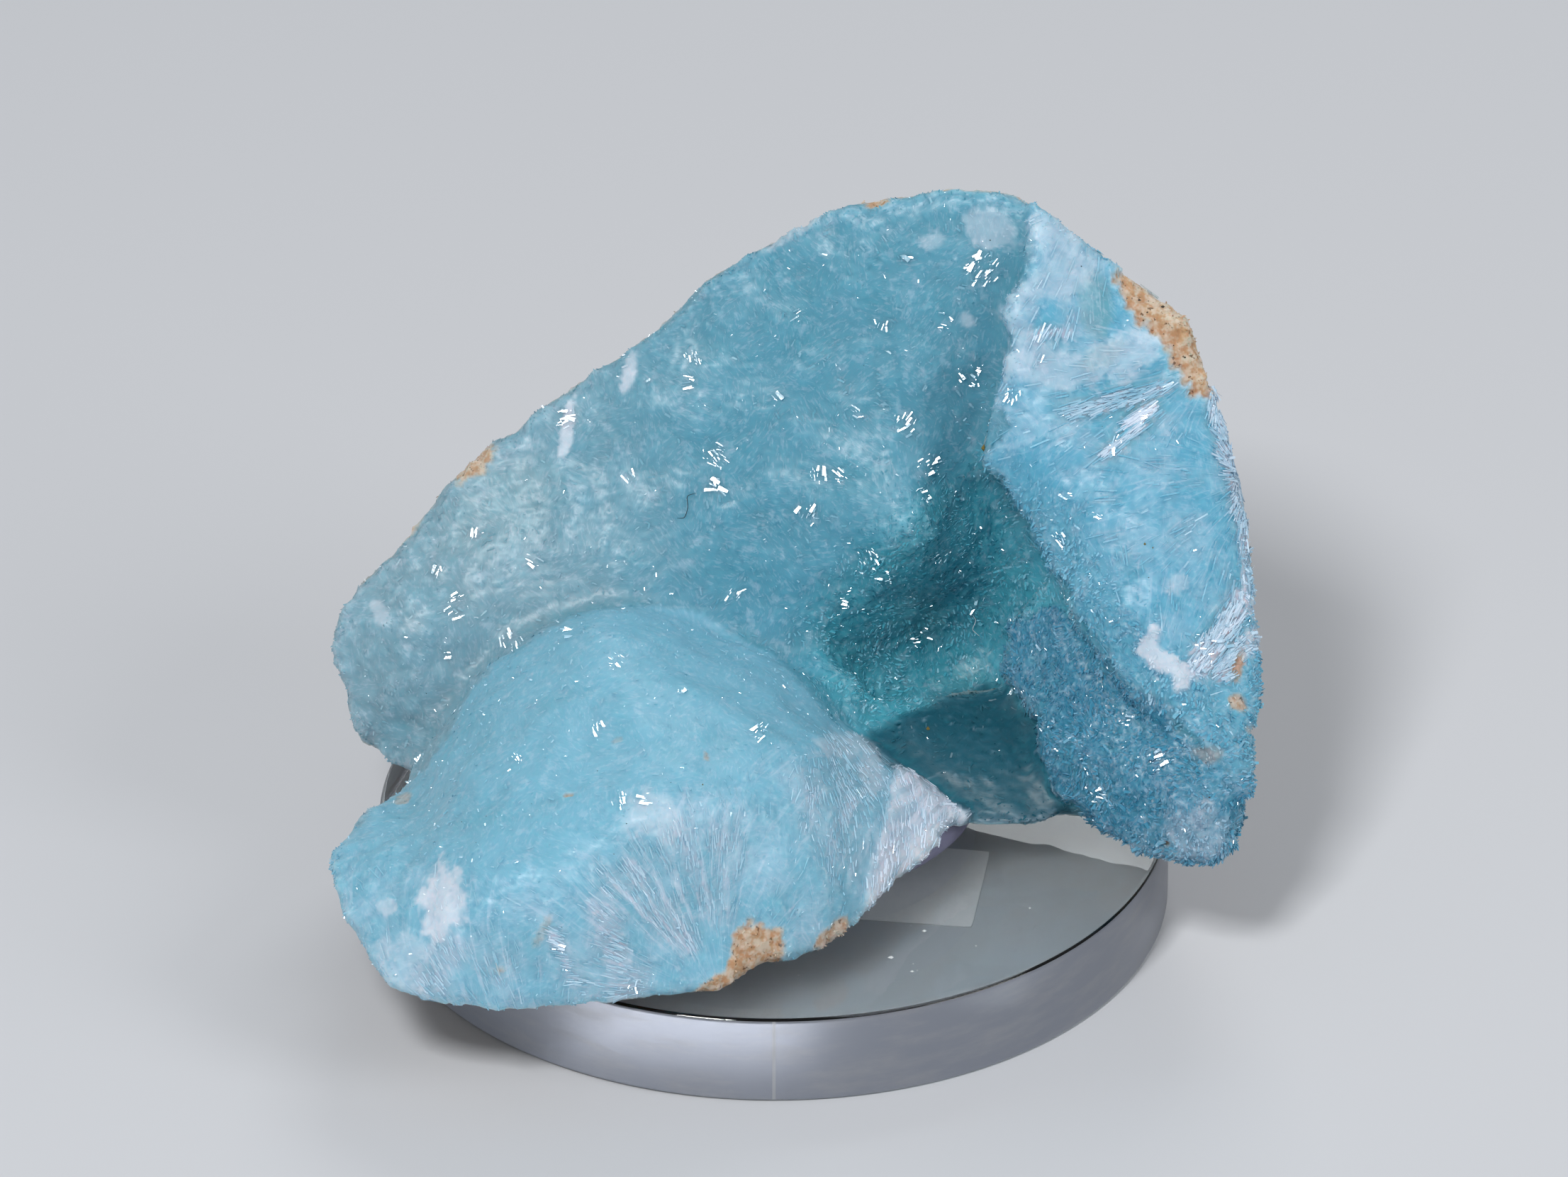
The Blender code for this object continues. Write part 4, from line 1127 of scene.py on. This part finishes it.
WHITE_LINT_ROUTE = [(12.5, 12.2), (12.8, 11.8), (12.6, 11.3), (13.0, 10.8)]
LINT_WIDTH = 0.05


def nearest_front(across, up):
    """The skin vertex that the viewer sees at this place: near it in sight, and nearest to the eye."""
    seen = sighted(SKIN_POINTS)
    away = np.hypot(seen[:, 0] - across, seen[:, 1] - up)
    close = np.nonzero((away < 0.35) & (SKIN_NORMALS @ SIGHT < 0.1))[0]
    if not len(close):
        return int(np.argmin(away))
    toward = seen[close, 2]
    close = close[toward < toward.min() + 1.5]
    return int(close[np.argmin(away[close])])


def lump_mesh(name, centres, sizes, squash):
    """Small closed stones: an octahedron's six corners, each pushed out or in by chance."""
    corners = np.array([(1, 0, 0), (-1, 0, 0), (0, 1, 0), (0, -1, 0), (0, 0, 1), (0, 0, -1)], float)
    faces = np.array(
        [(0, 2, 4), (2, 1, 4), (1, 3, 4), (3, 0, 4), (2, 0, 5), (1, 2, 5), (3, 1, 5), (0, 3, 5)]
    )
    stretch = (0.7 + 0.6 * RANDOM.random((len(centres), 6, 3))) * np.array(squash)
    points = centres[:, None, :] + corners[None] * stretch * (sizes * MM * 0.5)[:, None, None]
    all_faces = faces[None] + (np.arange(len(centres)) * 6)[:, None, None]
    mesh = array_mesh(name, points.reshape(-1, 3), all_faces.reshape(-1, 3))
    mesh.shade_flat()
    return mesh


def grain_look(name, dark, pale):
    """A dull grain, its tone varied by noise."""
    look = Look(name, IOR=1.5)
    tone = look.noise(look.place(), 3000.0, 2.0)
    look.set(Base_Color=look.mix(tone, dark, pale), Roughness=0.55 + tone * 0.3)
    return look.material


def grit(name, places, squash, material):
    """Grains half sunk into the skin at the listed places."""
    index = [nearest_front(across, up) for across, up, _ in places]
    sizes = np.array([size for _, _, size in places])
    made = placed(name, lump_mesh(name, SKIN_POINTS[index], sizes, squash))
    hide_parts("hemimorphite")
    made.data.materials.append(material)


DARK_GRAIN = grain_look("dark_grit", srgb(34, 32, 30), srgb(80, 66, 52))
grit("dark_grit", GRIT_PLACES, (1.0, 1.0, 0.8), DARK_GRAIN)
OLIVE_GRAIN = grain_look("olive_grain", srgb(92, 84, 30), srgb(140, 118, 50))
grit("olive_grains", OLIVE_PLACES, (0.7, 0.7, 1.3), OLIVE_GRAIN)


THREAD_SIDES = 5
THREAD_RINGS = 28


def thread_mesh(name, route, thick):
    """A closed tube along a smooth line through the route: a ring round each point of the line."""
    count = THREAD_SIDES
    route = np.array(route)
    t = np.linspace(0, len(route) - 1, THREAD_RINGS)
    line = np.stack([np.interp(t, np.arange(len(route)), route[:, axis]) for axis in range(3)], axis=1)
    for _ in range(4):
        line[1:-1] = (line[:-2] + 2 * line[1:-1] + line[2:]) / 4
    along = unit(np.gradient(line, axis=0))
    side = unit(np.cross(along, np.array([0.0, 0.3, 1.0])))
    other = np.cross(along, side)
    turn = np.arange(count) * 2 * np.pi / count
    taper = thick * MM * 0.5 * (1 - 0.7 * np.linspace(-1, 1, len(line)) ** 4)
    ring = np.cos(turn)[None, :, None] * side[:, None, :] + np.sin(turn)[None, :, None] * other[:, None, :]
    points = (line[:, None, :] + ring * taper[:, None, None]).reshape(-1, 3)
    start = np.arange(len(line) - 1)[:, None] * count
    here, after = np.arange(count), (np.arange(count) + 1) % count
    low = np.stack([start + here, start + after, start + count + after], axis=2).reshape(-1, 3)
    high = np.stack([start + here, start + count + after, start + count + here], axis=2).reshape(-1, 3)
    ends = np.array([(0, n + 1, n) for n in range(1, count - 1)])
    last = (len(line) - 1) * count
    mesh = array_mesh(name, points, np.concatenate([low, high, ends, last + ends[:, ::-1]]))
    mesh.shade_smooth()
    return mesh


def lint(name, places, thick, dark, pale):
    """A hair lying on the druse through the listed places, lifted a little off it."""
    index = [nearest_front(across, up) for across, up in places]
    route = SKIN_POINTS[index] + SKIN_NORMALS[index] * 0.10 * MM
    made = placed(name, thread_mesh(name, route, thick))
    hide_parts("hemimorphite")
    made.data.materials.append(grain_look(name, dark, pale))


lint("dark_lint", DARK_LINT_ROUTE, LINT_WIDTH, srgb(30, 34, 36), srgb(60, 62, 62))
lint("white_lint", WHITE_LINT_ROUTE, LINT_WIDTH, srgb(220, 224, 226), srgb(240, 240, 240))

# %% [markdown]
# The disc is a turned piece: a profile of radius and height carried round the upright. Its edges
# are rounded. Its flat faces are polished, so they are all refraction, with an index of 1.49. The
# side was only sawn and wiped, so it is hazy and lets less light through.

# %% Turned pieces
def turned(name, profile, segments, wander=None):
    """Carries a profile of (radius, height) round Z: x, y are radius times cosine and sine.

    The first and last points lie on the axis, and each becomes one vertex, so the ends are closed.
    """
    profile = np.array(profile, float)
    angle = np.linspace(0, 2 * np.pi, segments, endpoint=False)
    radius = np.repeat(profile[1:-1, 0], segments)
    height = np.repeat(profile[1:-1, 1], segments)
    turn = np.tile(angle, len(profile) - 2)
    if wander is not None:
        radius, height = wander(radius, height, turn)
    ring_points = np.stack([radius * np.cos(turn), radius * np.sin(turn), height], axis=1)
    points = np.vstack([[0, 0, profile[0, 1]], ring_points, [0, 0, profile[-1, 1]]])
    here = np.arange(segments)
    after = (here + 1) % segments
    rings = len(profile) - 2
    starts = 1 + segments * np.arange(rings - 1)[:, None]
    quads = np.stack(
        [starts + here, starts + after, starts + segments + after, starts + segments + here], axis=2
    ).reshape(-1, 4)
    last = len(points) - 1
    low = np.stack([np.zeros(segments, int), 1 + after, 1 + here], axis=1)
    high_ring = 1 + segments * (rings - 1)
    high = np.stack([np.full(segments, last), high_ring + here, high_ring + after], axis=1)
    mesh = bpy.data.meshes.new(name)
    mesh.from_pydata(points.tolist(), [], quads.tolist() + low.tolist() + high.tolist())
    mesh.update()
    mesh.shade_smooth()
    return mesh


# %% Acrylic disc
DISC_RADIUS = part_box("display_disc")[1].x
EDGE_ROUND = 0.32 * MM


def disc_profile():
    """Flat underside, a quarter-round edge, the upright side, a quarter-round edge, flat top."""
    corner = np.linspace(0, math.pi / 2, 6)
    inner = DISC_RADIUS - EDGE_ROUND
    low = [(inner + EDGE_ROUND * math.sin(a), EDGE_ROUND * (1 - math.cos(a))) for a in corner]
    high = [(inner + EDGE_ROUND * math.cos(a), DISC_TOP - EDGE_ROUND * (1 - math.sin(a))) for a in corner]
    flats = np.linspace(0.2, 0.98, 6) * inner
    under = [(0.0, 0.0)] + [(r, 0.0) for r in flats]
    over = [(r, DISC_TOP) for r in flats[::-1]] + [(0.0, DISC_TOP)]
    return under + low + high + over


disc = placed("clear_disc", turned("clear_disc", disc_profile(), 192))
disc.data.set_sharp_from_angle(angle=math.radians(40))
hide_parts("display_disc")


def acrylic_look():
    """Clear, polished, with the faintest haze of handling marks."""
    look = Look("acrylic", Base_Color=(0.93, 0.97, 0.98), IOR=1.49, Transmission_Weight=1.0)
    at = look.place()
    smear = look.noise(at, 130.0, 4.0, 0.6).between(0.58, 0.8)
    scratches = look.noise(look.stretched(at, (900.0, 60.0, 400.0)), 1.0, 3.0).between(0.66, 0.72)
    look.set(Roughness=0.012 + smear * 0.05 + scratches * 0.05)
    return look.material


def sawn_side_look():
    """Hazy and greyer than the faces. Where x in mm, squared, is near 0, a fine seam runs upright."""
    look = Look("acrylic_side", IOR=1.49, Transmission_Weight=0.72)
    at = look.place()
    across = look.node("ShaderNodeSeparateXYZ", {}, {"Vector": at}, output="X")
    seam = 1 - (across * across * 1e6).between(0.002, 0.02)
    haze = look.noise(look.stretched(at, (220.0, 220.0, 900.0)), 1.0, 4.0, 0.6).between(0.4, 0.75)
    chatter = look.noise(look.stretched(at, (500.0, 500.0, 3500.0)), 1.0, 3.0)
    tone = look.mix(haze * 0.7, srgb(176, 182, 196), srgb(206, 208, 214))
    look.set(
        Base_Color=look.mix(seam * 0.8, tone, srgb(240, 242, 244)),
        Roughness=0.30 + haze * 0.14 + seam * 0.2,
        Normal=look.bumped(chatter, 0.03 * MM, 0.2),
    )
    return look.material


disc.data.materials.append(acrylic_look())
disc.data.materials.append(sawn_side_look())
for face in disc.data.polygons:
    face.material_index = int(abs(face.normal.z) < 0.5)

# %% Dust on the disc
DUST_COUNT = 90
BIG_DUST = [
    (7.3, -17.8, 0.42), (9.4, -14.7, 0.30), (8.6, -19.4, 0.26), (16.0, -12.0, 0.22), (12.6, -16.4, 0.2),
]


def dust_on_disc():
    """Specks scattered evenly over the open top: radius by a square root, angle at random."""
    radius = np.sqrt(0.30 + 0.64 * RANDOM.random(DUST_COUNT)) * DISC_RADIUS
    angle = RANDOM.random(DUST_COUNT) * 2 * np.pi
    x = np.concatenate([radius * np.cos(angle), [x * MM for x, _, _ in BIG_DUST]])
    y = np.concatenate([radius * np.sin(angle), [y * MM for _, y, _ in BIG_DUST]])
    small = 0.05 + 0.10 * RANDOM.random(DUST_COUNT) ** 3
    sizes = np.concatenate([small, [size for _, _, size in BIG_DUST]])
    centres = np.stack([x, y, np.full(len(x), DISC_TOP) + sizes * 0.1 * MM], axis=1)
    return lump_mesh("disc_dust", centres, sizes, (1.0, 1.0, 0.4))


dust = placed("disc_dust", dust_on_disc())
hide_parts("display_disc")
dust.data.materials.append(grain_look("dust", srgb(206, 212, 214), srgb(236, 238, 238)))

# %% [markdown]
# The putty was pressed down by hand under the stone. It is a turned pad too, but its rim wanders,
# its side bulges, and its surface dimples where fingers pushed it in.

# %% Mounting putty
PUTTY_LOW, PUTTY_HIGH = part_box("mounting_putty")
PUTTY_RADIUS = PUTTY_HIGH.x - 0.3 * MM
PUTTY_LIFT = 0.02 * MM


def putty_wander(radius, height, turn):
    """Radius times a slow wobble, less deep in dimples round the rim; height is returned unchanged."""
    wobble = 1 + 0.028 * np.sin(2 * turn + 0.6) + 0.018 * np.sin(3 * turn + 2.0)
    level = (height - PUTTY_LOW.z) / (PUTTY_HIGH.z - PUTTY_LOW.z)
    dimples = 0.012 * np.sin(7 * turn + 0.8) * np.sin(np.pi * np.clip(level, 0, 1))
    return radius * (wobble - dimples), height


def putty_profile():
    """A flat foot, a half-round side that bulges outwards, and a flat top."""
    side = np.linspace(-math.pi / 2, math.pi / 2, 13)
    low, high = DISC_TOP + PUTTY_LIFT, PUTTY_HIGH.z + 0.45 * MM
    middle, half = (low + high) / 2, (high - low) / 2
    bulge = [(PUTTY_RADIUS - 0.9 * MM * (1 - math.cos(a)), middle + half * math.sin(a)) for a in side]
    return [(0.0, low), (PUTTY_RADIUS * 0.5, low)] + bulge + [(PUTTY_RADIUS * 0.5, high), (0.0, high)]


putty = placed("putty_pad", turned("putty_pad", putty_profile(), 128, putty_wander))
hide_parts("mounting_putty")


def putty_look():
    """Soft lilac-grey, slightly waxy, with faint press marks."""
    look = Look("putty", IOR=1.46, Subsurface_Weight=0.25)
    look.set(Subsurface_Radius=(0.8, 0.6, 0.9), Subsurface_Scale=0.8 * MM)
    at = look.place()
    tone = look.noise(at, 350.0, 4.0)
    look.set(
        Base_Color=look.mix(tone, srgb(128, 126, 156), srgb(158, 158, 184)),
        Roughness=0.38 + tone * 0.2,
        Normal=look.bumped(look.noise(at, 900.0, 4.0), 0.12 * MM, 0.5),
    )
    return look.material


putty.data.materials.append(putty_look())

# %% [markdown]
# The label is plain paper, stuck to the underside of the disc. A real cut of paper has slightly
# soft corners and lies a few hundredths of a millimetre uneven, which is enough to look like
# paper through the acrylic. It is blank.

# %% Paper label
LABEL_CENTRE = (8.1 * MM, -5.0 * MM)
LABEL_HALF = (5.0 * MM, 4.5 * MM)
LABEL_TURN = math.radians(-8)
LABEL_THICK = 0.13 * MM


def label_mesh():
    """A grid of u, v from -1 to 1: corners pulled in by the 12th power, top waved by two sines."""
    count = 33
    u, v = np.meshgrid(np.linspace(-1, 1, count), np.linspace(-1, 1, count), indexing="ij")
    pull = 1 - 0.012 * (u**12) * (v**12)
    x, y = u * LABEL_HALF[0] * pull, v * LABEL_HALF[1] * pull
    wave = 0.012 * MM * np.sin(3.1 * u + 0.5) * np.sin(2.3 * v)
    c, s = math.cos(LABEL_TURN), math.sin(LABEL_TURN)
    place_x = LABEL_CENTRE[0] + x * c - y * s
    place_y = LABEL_CENTRE[1] + x * s + y * c
    top = np.stack([place_x, place_y, LABEL_THICK + wave], axis=2).reshape(-1, 3)
    under = np.stack([place_x, place_y, np.full_like(u, 0.004 * MM)], axis=2).reshape(-1, 3)
    index = np.arange(count * count).reshape(count, count)
    corners = [index[:-1, :-1], index[1:, :-1], index[1:, 1:], index[:-1, 1:]]
    quads = np.stack(corners, axis=2).reshape(-1, 4)
    rim = np.concatenate([index[:, 0], index[-1, 1:], index[-2::-1, -1], index[0, -2:0:-1]])
    after = np.roll(rim, -1)
    low = count * count
    sides = np.stack([rim, rim + low, after + low, after], axis=1)
    faces = np.concatenate([quads, quads[:, ::-1] + low, sides])
    mesh = bpy.data.meshes.new("label_sheet")
    mesh.from_pydata(np.vstack([top, under]).tolist(), [], faces.tolist())
    mesh.update()
    return mesh


label = placed("label_sheet", label_mesh())
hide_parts("paper_label")


def paper_look():
    """Matt paper with a faint fibre grain."""
    look = Look("paper", IOR=1.45)
    at = look.place()
    grain = look.noise(look.stretched(at, (1.0, 0.4, 1.0)), 2200.0, 5.0, 0.7)
    look.set(
        Base_Color=look.mix(grain, srgb(232, 236, 238), srgb(246, 248, 248)),
        Roughness=0.75 + grain * 0.15,
        Normal=look.bumped(grain, 0.03 * MM, 0.4),
    )
    return look.material


label.data.materials.append(paper_look())

# %% [markdown]
# The studio: a pale floor, a soft key light above, one from the right, one from behind, and a camera
# where the photographer's was, nearly a metre away with a long lens, so the view is almost parallel.

# %% Floor
def floor_mesh():
    """A flat square, a hair below the disc, so that the two faces never coincide."""
    half, level = 0.9, -0.03 * MM
    corners = [(-half, -half, level), (half, -half, level), (half, half, level), (-half, half, level)]
    mesh = bpy.data.meshes.new("studio_floor")
    mesh.from_pydata(corners, [], [(0, 1, 2, 3)])
    return mesh


floor = bpy.data.objects.new("studio_floor", floor_mesh())
bpy.context.scene.collection.objects.link(floor)
floor_look = Look("studio_floor", Base_Color=srgb(205, 207, 211), Roughness=0.6)
floor.data.materials.append(floor_look.material)


# %% Lights
def soft_light(name, place, size, watts, aim=(0.0, 0.0, 0.02)):
    """A square area light at place, turned to face aim."""
    data = bpy.data.lights.new(name, "AREA")
    data.shape = "SQUARE"
    data.size = size
    data.energy = watts
    lamp = bpy.data.objects.new(name, data)
    lamp.location = place
    lamp.rotation_euler = (Vector(aim) - Vector(place)).to_track_quat("-Z", "Y").to_euler()
    bpy.context.scene.collection.objects.link(lamp)
    return lamp


soft_light("key", tuple(KEY_PLACE), 0.16, 4.0)
soft_light("fill_right", (0.50, -0.25, 0.40), 0.30, 1.1)
soft_light("rim_behind", (0.10, 0.55, 0.50), 0.30, 0.9)

world = bpy.data.worlds.new("studio")
world.use_nodes = True
world.node_tree.nodes["Background"].inputs["Color"].default_value = (0.86, 0.90, 0.95, 1.0)
world.node_tree.nodes["Background"].inputs["Strength"].default_value = 0.30
bpy.context.scene.world = world
bpy.context.scene.view_settings.view_transform = "Standard"

# %% Camera
PHOTO_SIZE = (2212, 1660)
PHOTO_SCALE = 22.48 / MM
DISC_CENTRE_PIXEL = (1092, 1141)
SENSOR = 36.0


def photo_camera():
    """Looks along the line of sight at the point that the photo's centre shows, framed as the photo."""
    across = (PHOTO_SIZE[0] / 2 - DISC_CENTRE_PIXEL[0]) / PHOTO_SCALE
    up = (DISC_CENTRE_PIXEL[1] - PHOTO_SIZE[1] / 2) / PHOTO_SCALE
    aim = Vector((across, 0.0, DISC_TOP + up / math.cos(SIGHT_TILT)))
    data = bpy.data.cameras.new("camera")
    data.sensor_width = SENSOR
    data.lens = SENSOR * CAMERA_DISTANCE / (PHOTO_SIZE[0] / PHOTO_SCALE)
    data.clip_start = 0.05
    camera = bpy.data.objects.new("camera", data)
    camera.location = aim - Vector(SIGHT) * CAMERA_DISTANCE
    camera.rotation_euler = Vector(SIGHT).to_track_quat("-Z", "Y").to_euler()
    bpy.context.scene.collection.objects.link(camera)
    bpy.context.scene.camera = camera
    return data.lens


print("lens:", round(photo_camera(), 1), "mm")
